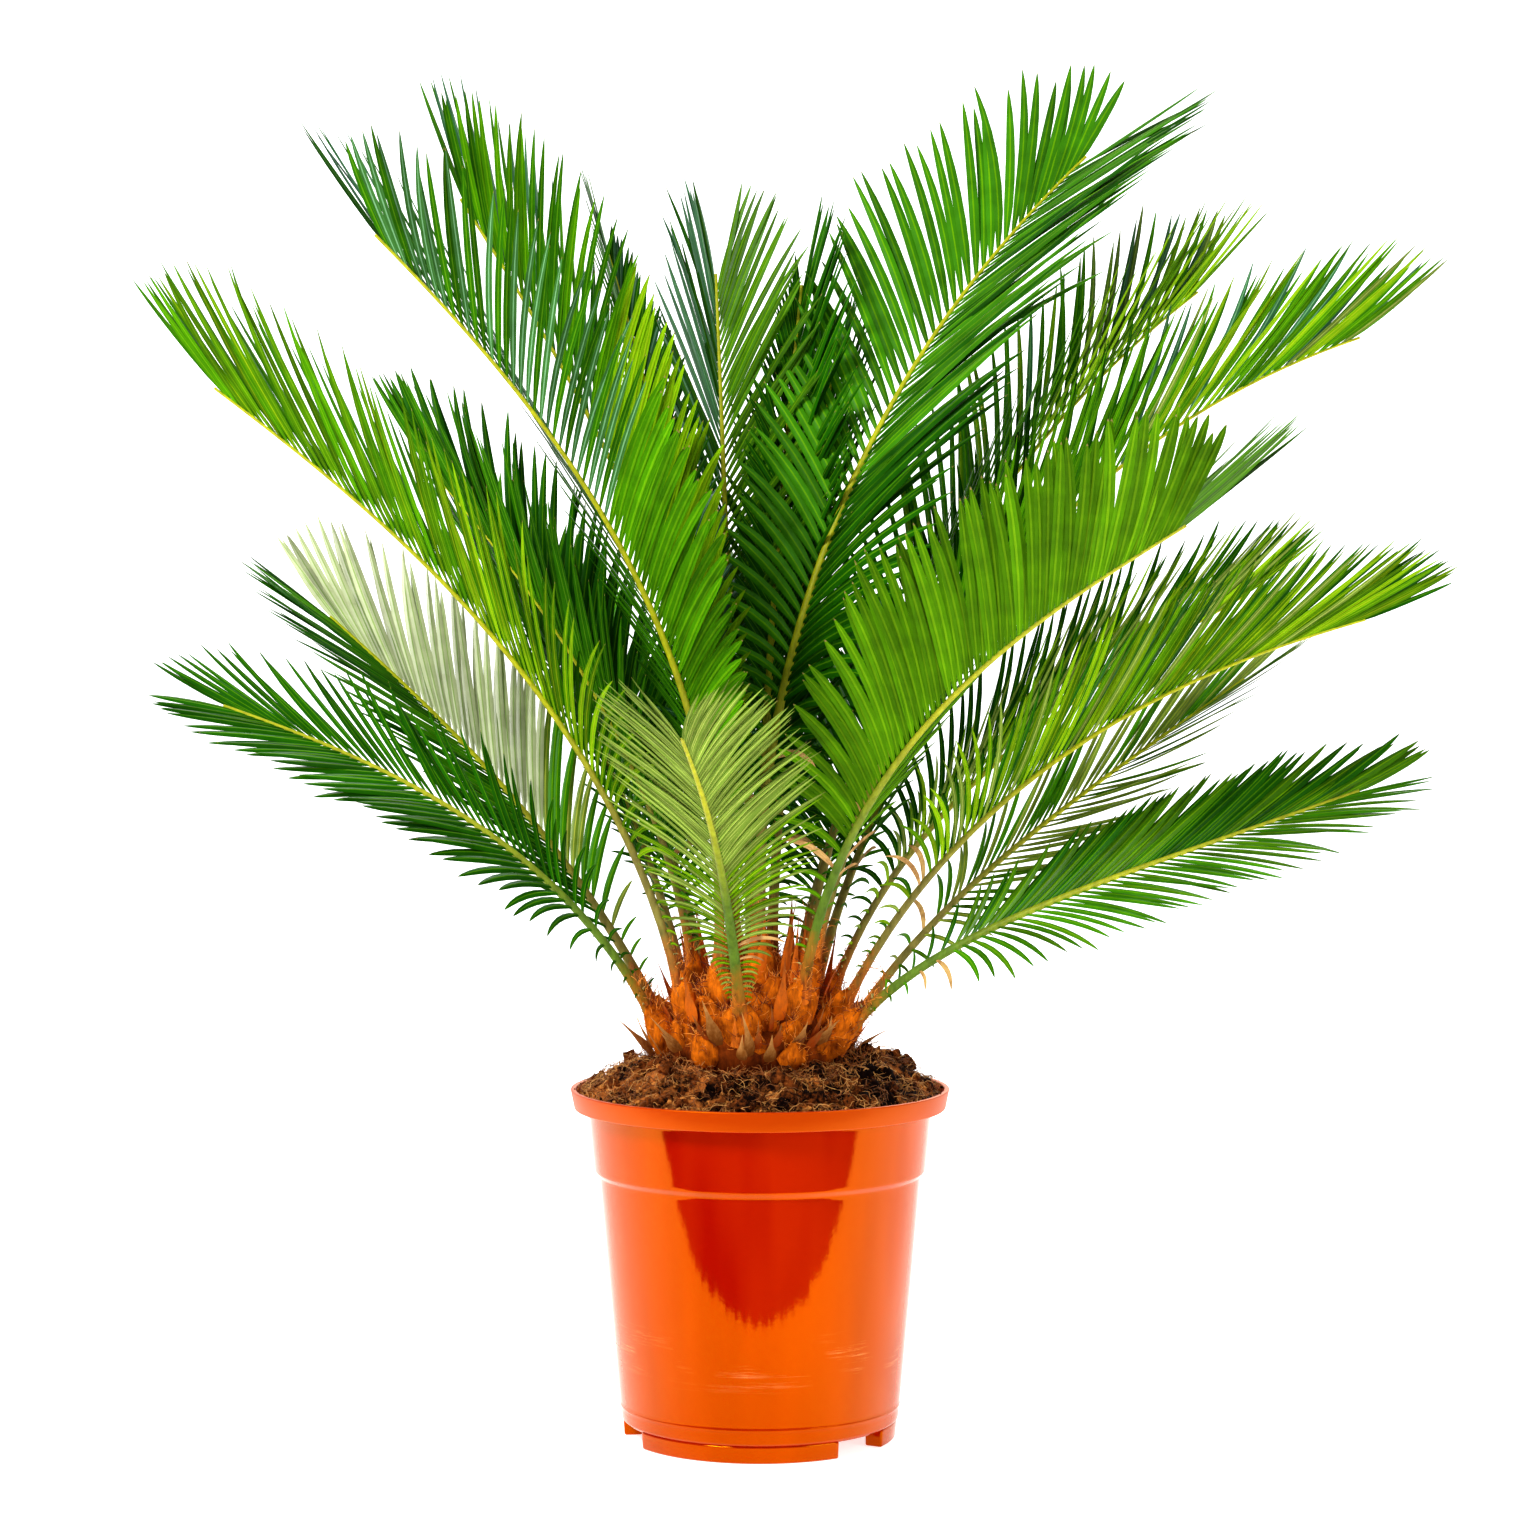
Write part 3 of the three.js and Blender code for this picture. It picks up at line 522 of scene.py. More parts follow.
def make_soil():
    """The soil as one closed body that fills the pot, with a crumbly top."""
    solid = bmesh.new()
    gap = 0.4
    wall = inner_profile(WALL_THICKNESS + gap)[:-1]
    top = [(BRIM_RADIUS * ring / SOIL_RINGS, SOIL_TOP) for ring in range(SOIL_RINGS, -1, -1)]
    spun(solid, [(0, FLOOR_TOP + gap), *wall, *top], SOIL_STEPS)
    for corner in solid.verts:
        x, y, z = corner.co / MM
        if z > LIP_FOOT + 1:
            corner.co.z = soil_height(x, y) * MM
    skin = peat("peat_bed", dark=(0.008, 0.0012, 0.0002), light=(0.50, 0.16, 0.035), size=3.2 * MM)
    body = mesh_from(solid, "potting_soil", smooth_under=180)
    add_piece("potting_soil", body, [skin], ["soil"])


def lump_shape(subdivisions, seed):
    """A rough crumb of unit size: corners and triangles."""
    solid = bmesh.new()
    bmesh.ops.create_icosphere(solid, subdivisions=subdivisions, radius=1)
    for corner in solid.verts:
        corner.co *= 1 + 0.7 * noise.noise(corner.co * 1.6 + Vector((seed, 0, 0)))
    solid.verts.index_update()
    corners = np.array([corner.co[:] for corner in solid.verts])
    faces = np.array([[corner.index for corner in face.verts] for face in solid.faces])
    solid.free()
    return corners, faces


def make_crumbs(name, material, seed, count, sizes, reach=CRUMB_REACH, subdivisions=1):
    """Loose crumbs scattered over the soil, joined into one mesh."""
    dice = random.Random(seed)
    shapes = [lump_shape(subdivisions, seed + extra) for extra in range(5)]
    corners, faces, first = [], [], 0
    while len(corners) < count:
        radius, turn = reach * math.sqrt(dice.uniform(0.1, 1)), dice.uniform(0, math.tau)
        x, y = radius * math.cos(turn), radius * math.sin(turn)
        if math.hypot(x - CAUDEX_X, y) < CAUDEX_RADIUS - 4:
            continue
        shape, triangles = dice.choice(shapes)
        size = dice.uniform(*sizes) * (SMALL_CRUMB if radius > SMALL_CRUMBS_FROM else 1)
        tilt = dice.uniform(0, math.tau)
        spin = Matrix.Rotation(tilt, 3, Vector([dice.gauss(0, 1) for _ in range(3)]))
        squash = np.array([dice.uniform(0.6, 1.3), dice.uniform(0.6, 1.3), dice.uniform(0.5, 0.9)])
        height = POT_HEIGHT + 0.2 * size if radius > LOOSE_REACH else soil_height(x, y)
        at = np.array([x, y, height + 0.15 * size])
        corners.append((shape * squash * size) @ np.array(spin).T + at)
        faces.append(triangles + first)
        first += len(shape)
    mesh = bpy.data.meshes.new(name)
    mesh.from_pydata(np.concatenate(corners) * MM, [], np.concatenate(faces).tolist())
    mesh.shade_smooth()
    add_piece(name, mesh, [material])


# ---------------------------------------------------------------- thin strands
def make_strands(name, paths, material):
    """Thin closed three-sided strands in one mesh. A path is a list of (point, radius) in metres."""
    corners, faces, sides = [], [], 3
    turns = [math.tau * side / sides for side in range(sides)]
    for path in paths:
        first = len(corners)
        for index, (point, radius) in enumerate(path):
            ahead = path[min(index + 1, len(path) - 1)][0] - path[max(index - 1, 0)][0]
            across = ahead.orthogonal().normalized()
            lift = ahead.cross(across).normalized()
            corners += [point + radius * (math.cos(turn) * across + math.sin(turn) * lift)
                        for turn in turns]
        for ring in range(len(path) - 1):
            for side in range(sides):
                a, b = first + ring * sides + side, first + ring * sides + (side + 1) % sides
                faces.append((a, b, b + sides, a + sides))
        faces.append(tuple(range(first + sides - 1, first - 1, -1)))
        faces.append(tuple(range(first + (len(path) - 1) * sides, first + len(path) * sides)))
    mesh = bpy.data.meshes.new(name)
    mesh.from_pydata(corners, [], faces)
    mesh.shade_smooth()
    add_piece(name, mesh, [material])


def curly_path(dice, start, direction, length, radius, curl, steps=7, sag=0.0):
    """A strand that wanders from a start, thinning to its end."""
    path, point, heading = [], start.copy(), direction.normalized()
    for step in range(steps + 1):
        path.append((point.copy(), radius * (1 - 0.6 * step / steps)))
        wander = Vector([dice.gauss(0, curl) for _ in range(3)])
        heading = (heading + wander - UP * sag).normalized()
        point += heading * (length / steps)
    return path


def peat_fibres(seed, count, reach=(0.22, 1)):
    """Roots and coir threads that lie curled on the soil, over a stretch of its area from 0 to 1."""
    dice = random.Random(seed)
    paths = []
    for _ in range(count):
        radius, turn = LOOSE_REACH * math.sqrt(dice.uniform(*reach)), dice.uniform(0, math.tau)
        x, y = radius * math.cos(turn), radius * math.sin(turn)
        start = Vector((x, y, soil_height(x, y) + dice.uniform(-0.6, 1.6))) * MM
        level = Vector((dice.gauss(0, 1), dice.gauss(0, 1), dice.uniform(-0.1, 0.6)))
        length, thickness = dice.uniform(5, 20) * MM, dice.uniform(0.14, 0.36) * MM
        path = curly_path(dice, start, level, length, thickness, curl=0.45, sag=0.03)
        paths.append([(rest_on_soil(point), thick) for point, thick in path])
    return paths


def rest_on_soil(point):
    """Keeps a point out of the pot's wall and near the top of the soil."""
    reach = math.hypot(point.x, point.y)
    limit = LOOSE_REACH * MM
    if reach > limit:
        point = Vector((point.x * limit / reach, point.y * limit / reach, point.z))
    floor = soil_height(point.x / MM, point.y / MM) * MM
    return Vector((point.x, point.y, min(max(point.z, floor - 0.4 * MM), floor + 6 * MM)))


# ---------------------------------------------------------------- caudex
def dome_height(radius):
    """Height of the caudex's dome, which falls away from its top."""
    return CAUDEX_TOP - CAUDEX_FALL * radius * radius


def dome_point(heading, radius, lift=0.0):
    """Point on the caudex's dome, from a heading in degrees and a radius in millimetres."""
    turn = math.radians(heading)
    x, y = CAUDEX_X + radius * math.cos(turn), radius * math.sin(turn)
    return Vector((x, y, dome_height(radius) + lift)) * MM


def outwards_at(heading):
    """Level direction away from the plant's middle."""
    turn = math.radians(heading)
    return Vector((math.cos(turn), math.sin(turn), 0))


def dome_normal(heading, radius):
    """Direction straight out of the dome."""
    turn = math.radians(heading)
    slope = 2 * CAUDEX_FALL * radius
    return Vector((slope * math.cos(turn), slope * math.sin(turn), 1)).normalized()


def make_caudex():
    """The woolly bulb under the scales."""
    solid = bmesh.new()
    radii = [(CAUDEX_RADIUS - 1) * ring / CAUDEX_RINGS for ring in range(CAUDEX_RINGS, -1, -1)]
    foot = SOIL_TOP - 6
    profile = [(0, foot), (CAUDEX_RADIUS - 3, foot), *((radius, dome_height(radius)) for radius in radii)]
    spun(solid, profile, CAUDEX_STEPS)
    for corner in solid.verts:
        x, y, z = corner.co / MM
        if z > SOIL_TOP - 5:
            lumps = 2.6 * noise.fractal(Vector((x, y, z)) / 11, 0.8, 2.1, 4)
            corner.co += Vector((x, y, 20)).normalized() * lumps * MM
    bmesh.ops.translate(solid, verts=solid.verts, vec=(CAUDEX_X * MM, 0, 0))
    skin = wool_skin("caudex_wool", dark=(0.03, 0.004, 0.001), light=(0.30, 0.06, 0.005))
    bulb = mesh_from(solid, "caudex_bulb", smooth_under=180)
    add_piece("caudex_bulb", bulb, [skin], ["caudex"])


def add_bulb(solid, seat, lean, outward, width, height, depth, seed):
    """One swollen, woolly leaf base: a lumpy drop that leans along lean."""
    made = bmesh.ops.create_uvsphere(solid, u_segments=20, v_segments=14, radius=1)["verts"]
    side = lean.cross(outward).normalized()
    facing = side.cross(lean)
    turned = Matrix((side, facing, lean)).transposed().to_4x4()
    for corner in made:
        shape = corner.co.copy()
        taper = 1 - 0.42 * max(0.0, shape.z) ** 1.3
        lumps = 1 + 0.24 * noise.noise(shape * 1.8 + Vector((seed, 0, 0))) + 0.09 * noise.noise(shape * 6)
        folds = 1 + 0.05 * math.sin(9 * math.atan2(shape.y, shape.x) + 2 * noise.noise(shape * 2))
        x, y = shape.x * width * taper * folds, shape.y * depth * taper * folds
        corner.co = Vector((x, y, shape.z * height)) * lumps
    placed = Matrix.Translation(seat) @ turned @ Matrix.Scale(MM, 4)
    bmesh.ops.transform(solid, verts=made, matrix=placed)


def make_leaf_bases():
    """Swollen feet of the fronds and of old leaves over the bulb. Returns where wool grows on them."""
    dice = random.Random(5)
    solid = bmesh.new()
    for frond in FRONDS.values():
        _, along, up, _ = frame_at(rib_frames(frond), 0.02)
        seat = dome_point(*frond["seat"], lift=-1) + along * (5 * MM)
        width, height = dice.uniform(9, 11), dice.uniform(14, 19)
        add_bulb(solid, seat, along, -up, width, height, depth=7.2, seed=dice.uniform(0, 99))
    for index in range(OLD_BASES):
        heading = index * GOLDEN_ANGLE + dice.uniform(-8, 8)
        radius = CAUDEX_RADIUS * math.sqrt((index + 4) / (OLD_BASES + 3))
        lean = (UP * 0.8 + dome_normal(heading, radius) * 0.6).normalized()
        width, height, depth = dice.uniform(7, 10), dice.uniform(8, 12), dice.uniform(4, 6)
        seat = dome_point(heading, radius, lift=-2)
        add_bulb(solid, seat, lean, outwards_at(heading), width, height, depth, seed=dice.uniform(0, 99))
    bmesh.ops.recalc_face_normals(solid, faces=solid.faces)
    roots = [(face.calc_center_median(), face.normal.copy()) for face in solid.faces]
    skin = wool_skin("leaf_base_wool", dark=(0.07, 0.006, 0.0005), light=(0.88, 0.22, 0.008), size=2.4 * MM)
    bases = mesh_from(solid, "leaf_bases", smooth_under=180)
    add_piece("leaf_bases", bases, [skin])
    return roots


def wool_tufts(roots, seed, count, lengths, radii):
    """Short fibres that lie up the leaf bases and stand a little off them."""
    dice = random.Random(seed)
    centre = Vector((CAUDEX_X * MM, 0, 0.2))
    paths = []
    for start, normal in dice.choices(roots, k=count):
        outward = (start - centre).normalized()
        stray = Vector([dice.gauss(0, 0.45) for _ in range(3)])
        direction = normal * 0.45 + UP * 0.6 + outward * 0.3 + stray
        length, radius = dice.uniform(*lengths) * MM, dice.uniform(*radii) * MM
        rooted = start - normal * (0.3 * MM)
        paths.append(curly_path(dice, rooted, direction, length, radius, curl=0.3, steps=4, sag=0.04))
    return paths


# ---------------------------------------------------------------- blades: leaflets, scales and bracts
class BladeMesh:
    """Collects blades of one section into the arrays of a single mesh."""

    def __init__(self, section, skins):
        self.section, self.skins = np.array(section), skins
        self.corners, self.faces, self.materials, self.tones, self.uvs = [], [], [], [], []

    def add(self, stations, materials, tone, tip_material=None):
        """One blade. A station is (centre, across, facing, half width, share of the length)."""
        count, first = len(self.section), len(self.corners)
        for centre, across, facing, half, _ in stations:
            for x, z in self.section:
                self.corners.append(centre + across * (x * half) + facing * (z * half))
        last = len(stations) - 2
        for ring in range(len(stations) - 1):
            low, high = stations[ring][4], stations[ring + 1][4]
            for side in range(count):
                a = first + ring * count + side
                b = first + ring * count + (side + 1) % count
                self.faces.append((a, b, b + count, a + count))
                tipped = tip_material is not None and ring == last
                self.materials.append(tip_material if tipped else materials[self.skins[side]])
                left, right = side / count, (side + 1) / count
                self.uvs += [(left, low), (right, low), (right, high), (left, high)]
        for ring, order in ((0, -1), (len(stations) - 1, 1)):
            rim = range(first + ring * count, first + (ring + 1) * count)
            self.faces.append(tuple(rim[::order]))
            self.materials.append(materials[self.skins[0]])
            self.uvs += [(0.5, stations[ring][4])] * count
        self.tones += [tone] * (len(self.faces) - len(self.tones))

    def finish(self, name):
        """The mesh, with each face's material and tone and an unwrapping along the blade."""
        mesh = bpy.data.meshes.new(name)
        mesh.from_pydata(self.corners, [], self.faces)
        mesh.polygons.foreach_set("material_index", self.materials)
        mesh.attributes.new("tone", "FLOAT", "FACE").data.foreach_set("value", self.tones)
        mesh.uv_layers.new(name="UVMap").data.foreach_set("uv", np.array(self.uvs, np.float32).ravel())
        mesh.shade_smooth()
        mesh.set_sharp_from_angle(angle=math.radians(50))
        return mesh


# across and height of each corner, in half widths: rolled margins, a flat midline, a raised vein below
LEAFLET_SECTION = [(1, -0.34), (0.15, 0.02), (-0.15, 0.02), (-1, -0.34),
                   (-0.38, -0.16), (-0.2, -0.32), (0.2, -0.32), (0.38, -0.16)]
LEAFLET_SKINS = ["upper", "midline", "upper", "under", "under", "midline", "under", "under"]
LEAFLET_STATIONS = [0, 0.03, 0.10, 0.22, 0.38, 0.54, 0.70, 0.83, 0.93, 0.985, 1]


def leaflet_half_width(share, width, bluntness):
    """Linear leaflet: narrow foot, parallel margins, and a taper to a spine, which starts late if blunt."""
    foot = 0.34 + 0.66 * min(1.0, share / 0.26) ** 0.8
    taper = max(0.0, 1 - share ** bluntness) ** 0.78
    return max(0.05 * MM, width / 2 * foot * taper)


# ---------------------------------------------------------------- fronds, by the rule of the part's solids
def rib_frames(frond):
    """Walks a frond's rib from its seat: (point, along, up, side) at each step, in metres."""
    point = dome_point(*frond["seat"], lift=-SEAT_DEPTH)
    outwards, roll = outwards_at(frond["heading"]), math.radians(frond.get("roll", 0))
    frames = []
    for step in range(RIB_STEPS + 1):
        eased = (1 - step / RIB_STEPS) ** frond.get("ease", RIB_EASE)
        slope = math.radians(frond["tip"] + (frond["rise"] - frond["tip"]) * eased)
        along = outwards * math.cos(slope) + UP * math.sin(slope)
        up = UP * math.cos(slope) - outwards * math.sin(slope)
        up.rotate(Matrix.Rotation(-roll, 3, along))
        frames.append((point.copy(), along, up, up.cross(along)))
        point += along * (frond["length"] * MM / RIB_STEPS)
    return frames


def frame_at(frames, share):
    """The frame at a share of the rib's length."""
    place = min(max(share, 0.0), 1.0) * RIB_STEPS
    lower = min(int(place), RIB_STEPS - 1)
    point, *axes = (a.lerp(b, place - lower) for a, b in zip(frames[lower], frames[lower + 1]))
    return (point, *(axis.normalized() for axis in axes))


def leaflet_length(place, full_from):
    """Share of the full leaflet length at a place along the leafy part, 0 to 1; spines below it."""
    if place < 0:
        return SHORTEST + 0.9 * place
    grown = SHORTEST + (1 - SHORTEST) * min(1.0, place / full_from) ** 0.8
    return grown * (1 - 0.38 * max(0.0, (place - SHORTER_FROM) / (1 - SHORTER_FROM)) ** 2)


def of_hand(value, hand):
    """The value for one rank, where it may be a pair: hand 1 (left), hand -1 (right)."""
    return value[0 if hand == 1 else 1] if isinstance(value, tuple) else value


def by_rank(frond, key, hand, usual):
    """A frond's own setting for one rank, or the usual one."""
    return of_hand(frond.get(key, usual), hand)


def lowness(place, reach):
    """1 at the foot of the leafy part, falling to 0 at a place."""
    return 1 - min(1.0, max(0.0, place) / reach)


def leaflet_angle(frond, hand, place):
    """Angle in degrees between rib and leaflet, at the leaflet's root."""
    sweep = by_rank(frond, "sweep", hand, SWEEP)
    opening = (FOOT_SWEEP - sweep) * by_rank(frond, "splay", hand, 1) * lowness(place, 0.3) ** 1.5
    closing = (sweep - by_rank(frond, "tip_angle", hand, TIP_SWEEP)) * max(0.0, (place - 0.55) / 0.45) ** 1.4
    return sweep + opening - closing


def leaflet_lift(frond, hand, place):
    """How far a rank folds up out of the frond's plane, in degrees."""
    own = by_rank(frond, "fold", hand, frond["vee"])
    mixed = own + (frond["vee"] - own) * (1 - lowness(place, 0.75)) ** 2
    return mixed * (0.75 + 0.35 * place)


def rib_half_width(frond, share):
    """Half the rib's width in metres, with the swollen foot that clasps the caudex."""
    width = RIB_TIP_WIDTH + (RIB_STALK_WIDTH - RIB_TIP_WIDTH) * (1 - share) ** 1.4
    foot = RIB_FOOT_SWELL * math.exp(-((share * frond["length"] / RIB_FOOT_LENGTH) ** 2))
    return (width / 2 + foot) * MM


def make_rib(name, frond, frames, skin):
    """The rib: a ring carried from station to station, close together at its foot."""
    solid = bmesh.new()
    close, even_steps = [0, 0.012, 0.025, 0.04, 0.06, 0.09, 0.13, 0.17], 34
    shares = close + [0.2 + 0.8 * step / even_steps for step in range(even_steps + 1)]
    stations = []
    for share in shares:
        point, along, up, side = frame_at(frames, share)
        half = rib_half_width(frond, share)
        centre = point - up * (RIB_DROP * half)
        turned = Matrix((side, up, -along)).transposed().to_4x4()
        size = Matrix.Diagonal((half, half * RIB_DEPTH, half, 1))
        stations.append(Matrix.Translation(centre) @ turned @ size)
    sides = 12
    foot = bmesh.ops.create_circle(solid, cap_ends=True, segments=sides, radius=1, matrix=stations[0])
    edges = list({edge for corner in foot["verts"] for edge in corner.link_edges})
    for before, after in zip(stations, stations[1:]):
        made = bmesh.ops.extrude_edge_only(solid, edges=edges)["geom"]
        moved = [item for item in made if isinstance(item, bmesh.types.BMVert)]
        bmesh.ops.transform(solid, verts=moved, matrix=after @ before.inverted())
        rim = set(moved)
        edges = [item for item in made if isinstance(item, bmesh.types.BMEdge) and set(item.verts) <= rim]
    bmesh.ops.holes_fill(solid, edges=edges, sides=sides)
    mesh = mesh_from(solid, f"rib_{name}", smooth_under=60)
    add_piece(f"rib_{name}", mesh, [skin], [f"frond_{name}"])


def is_inner(frond, place):
    """Whether a place lies below the outer part of a frond, where it has one."""
    return "outer" not in frond or place <= frond["outer"][0]


def leaflet_width(frond, hand, place):
    """Full width of a leaflet in millimetres, by its rank and its place."""
    if is_inner(frond, place):
        return by_rank(frond, "width", hand, LEAFLET_WIDTH)
    return of_hand(frond["outer"][2], hand)


def leaflet_stations(frond, frames, place, hand, dice):
    """The centre, axes and half width of one leaflet from its root to its tip."""
    share = STALK + (RIB_END - STALK) * place
    point, along, up, side = frame_at(frames, share)
    clump = Vector((share * frond["length"] / CLUMP_LENGTH, hand * 3, frond["seat"][0]))
    unevenness = frond.get("clump", 1)
    jitter = 0.4 + 0.6 * unevenness
    lift = leaflet_lift(frond, hand, place) + CLUMP_LIFT * unevenness * noise.noise(clump)
    lift = math.radians(lift + dice.gauss(0, STRAY_LIFT) * jitter)
    out = side * (hand * math.cos(lift)) + up * math.sin(lift)
    face = along.cross(out) * hand
    angle = leaflet_angle(frond, hand, place) + CLUMP_ANGLE * unevenness * noise.noise(clump + UP * 9)
    angle += dice.gauss(0, STRAY_ANGLE) * jitter
    length = frond["leaf"] * MM * leaflet_length(place, by_rank(frond, "full_from", hand, FULL_FROM))
    length *= by_rank(frond, "reach", hand, 1) * (1 + dice.gauss(0, STRAY_LENGTH))
    width = leaflet_width(frond, hand, place) * MM * dice.uniform(0.94, 1.06)
    width = min(width, 0.07 * length + 0.9 * MM)
    splay = by_rank(frond, "splay", hand, 1)
    bend = by_rank(frond, "recurve", hand, RECURVE) + FOOT_RECURVE * splay * lowness(place, 0.4) ** 1.5
    bend += dice.gauss(0, STRAY_BEND)
    droop = 0.04 + 0.5 * splay * lowness(place, 0.35) ** 1.5
    curl = dice.gauss(0, STRAY_CURL)
    bluntness = by_rank(frond, "blunt", hand, BLUNTNESS) if is_inner(frond, place) else BLUNTNESS
    half_rib = rib_half_width(frond, share)
    point = point + side * (hand * half_rib * 0.55) - up * (half_rib * 0.05)
    stations, before = [], 0.0
    for station in LEAFLET_STATIONS:
        turn = math.radians(angle + bend * (station + before) / 2)
        ahead = along * math.cos(turn) + out * math.sin(turn)
        step = (ahead + face * (curl * station) - UP * (droop * station ** 1.5)).normalized()
        point = point + step * (length * (station - before))
        across = (along * math.sin(turn) - out * math.cos(turn)) * hand
        stations.append((point, across, face, leaflet_half_width(station, width, bluntness), station))
        before = station
    return stations


def leaflet_greens(frond, hand, place):
    """Names of the greens found on a rank at a place."""
    greens = frond["greens"] if is_inner(frond, place) else frond["outer"][1]
    return of_hand(greens, hand).split("+")


def make_leaflets(name, frond, frames, skins, tip, dry):
    """Every leaflet of a frond, joined: each rank has its own greens and each leaflet its own tone."""
    dice = random.Random(name)
    outer_greens = frond["outer"][1] if "outer" in frond else ()
    greens = list(dict.fromkeys("+".join((*frond["greens"], *outer_greens)).split("+")))
    materials = [skins[green, side] for green in greens for side in SIDES] + [tip, dry]
    blades = BladeMesh(LEAFLET_SECTION, LEAFLET_SKINS)
    first = (LEAFY_FROM - STALK) / (RIB_END - STALK)
    for hand in (1, -1):
        pitch = by_rank(frond, "pitch", hand, LEAFLET_PITCH)
        count = round(frond["length"] * (RIB_END - LEAFY_FROM) / pitch)
        for leaflet in range(count):
            step = (leaflet + 0.5 + 0.12 * hand) / count
            place = first + (1 - first) * step ** by_rank(frond, "spread", hand, 1)
            if place < SPINY_TO and leaflet % 2 and name != "front":
                continue
            index = greens.index(dice.choice(leaflet_greens(frond, hand, place))) * len(SIDES)
            chosen = {side: index + extra for extra, side in enumerate(SIDES)}
            if 0 < place < DRY_TO and dice.random() < DRY_SHARE:
                chosen = dict.fromkeys(SIDES, len(materials) - 1)
            stations = leaflet_stations(frond, frames, place, hand, dice)
            blades.add(stations, chosen, tone=dice.uniform(-1, 1), tip_material=len(materials) - 2)
    mesh = blades.finish(f"leaflets_{name}")
    add_piece(f"leaflets_{name}", mesh, materials, [f"frond_{name}"])


def thorn_paths(frond, frames, dice):
    """Short spines down both edges of the stalk."""
    paths = []
    for hand in (1, -1):
        share, last = 0.04, LEAFY_FROM + 0.02
        while share < last:
            point, along, up, side = frame_at(frames, share)
            root = point + side * (hand * rib_half_width(frond, share) * 0.85) + up * (0.3 * MM)
            direction = (side * hand + up * 0.5 + along * dice.uniform(0, 0.6)).normalized()
            length = dice.uniform(1.4, 3.4) * MM
            middle = root + direction * (length * 0.5) + along * (0.1 * length)
            paths.append([(root, 0.75 * MM), (middle, 0.45 * MM), (root + direction * length, 0.05 * MM)])
            share += dice.uniform(4, 8) / frond["length"]
    return paths


def rib_foot_roots(frond):
    """Places on the lowest part of a stalk where wool grows: (point, normal)."""
    roots, frames = [], rib_frames(frond)
    rings, ring_pitch = 13, 3.2
    for ring in range(1, rings + 1):
        share = ring * ring_pitch / frond["length"]
        point, _, up, side = frame_at(frames, share)
        for turn in range(0, 360, 24):
            normal = side * math.cos(math.radians(turn)) + up * math.sin(math.radians(turn))
            roots.append((point + normal * (rib_half_width(frond, share) * 0.8), normal))
    return roots


# ---------------------------------------------------------------- bracts between the stalks
BRACT_SECTION = [(1, -0.12), (0.4, 0.10), (-0.4, 0.10), (-1, -0.12), (-0.4, -0.16), (0.4, -0.16)]
BRACT_SKINS = ["skin"] * 6


def add_bract(blades, root, direction, facing, length, width, curl, tone):
    """A pointed scale that curls towards or away from its face."""
    across = direction.cross(facing).normalized()
    stations, point, steps = [], root.copy(), 8
    for step in range(steps + 1):
        share = step / steps
        ahead = (direction + facing * (curl * share)).normalized()
        if step:
            point = point + ahead * (length / steps)
        normal = across.cross(ahead).normalized()
        swell = 0.75 + 0.5 * math.sin(math.pi * min(1, share * 1.8))
        half = max(0.08 * MM, width / 2 * (1 - share ** 1.3) * swell)
        stations.append((point, across, normal, half, share))
    blades.add(stations, {"skin": 0}, tone)


def make_bracts(name, material, seed, count, lengths, widths, ring, curls, splay):
    """Scales and bracts round the bulb, between the stalks."""
    dice = random.Random(seed)
    blades = BladeMesh(BRACT_SECTION, BRACT_SKINS)
    for index in range(count):
        heading = index * GOLDEN_ANGLE + dice.uniform(-12, 12)
        radius = CAUDEX_RADIUS * math.sqrt(dice.uniform(*ring))
        flat = outwards_at(heading)
        direction = (UP + flat * (splay * radius / CAUDEX_RADIUS + dice.uniform(-0.1, 0.2))).normalized()
        across = direction.cross(flat).normalized()
        across.rotate(Matrix.Rotation(dice.gauss(0, 0.3), 3, direction))
        facing = across.cross(direction).normalized()
        root = dome_point(heading, radius) + dome_normal(heading, radius) * (3 * MM)
        length, width = dice.uniform(*lengths) * MM, dice.uniform(*widths) * MM
        curl, tone = dice.uniform(*curls), dice.uniform(-1, 1)
        add_bract(blades, root, direction, facing, length, width, curl, tone)
    add_piece(name, blades.finish(name), [material])


# ---------------------------------------------------------------- build
make_pot()
make_soil()
crumb_skin = peat("peat_crumb", dark=(0.012, 0.002, 0.0003), light=(0.80, 0.32, 0.08), size=2 * MM)
make_crumbs("peat_crumbs", crumb_skin, seed=11, count=1300, sizes=(0.5, 1.9))
clod_skin = peat("peat_clod", dark=(0.006, 0.001, 0.0002), light=(0.24, 0.065, 0.012), size=2.4 * MM)
make_crumbs("peat_clods", clod_skin, seed=12, count=150, sizes=(2.5, 5.0), reach=84, subdivisions=3)
root_skin = plain_thread("root_thread", dark=(0.40, 0.15, 0.03), light=(0.80, 0.42, 0.13))
make_strands("peat_roots", peat_fibres(seed=21, count=1100), root_skin)
thread_skin = plain_thread("peat_thread", dark=(0.015, 0.003, 0.0006), light=(0.44, 0.15, 0.03))
make_strands("peat_threads", peat_fibres(seed=22, count=1300), thread_skin)
fibre_skin = plain_thread("foot_fibre", dark=(0.30, 0.075, 0.010), light=(0.74, 0.28, 0.06))
make_strands("foot_fibres", peat_fibres(seed=23, count=700, reach=(0.2, 0.38)), fibre_skin)

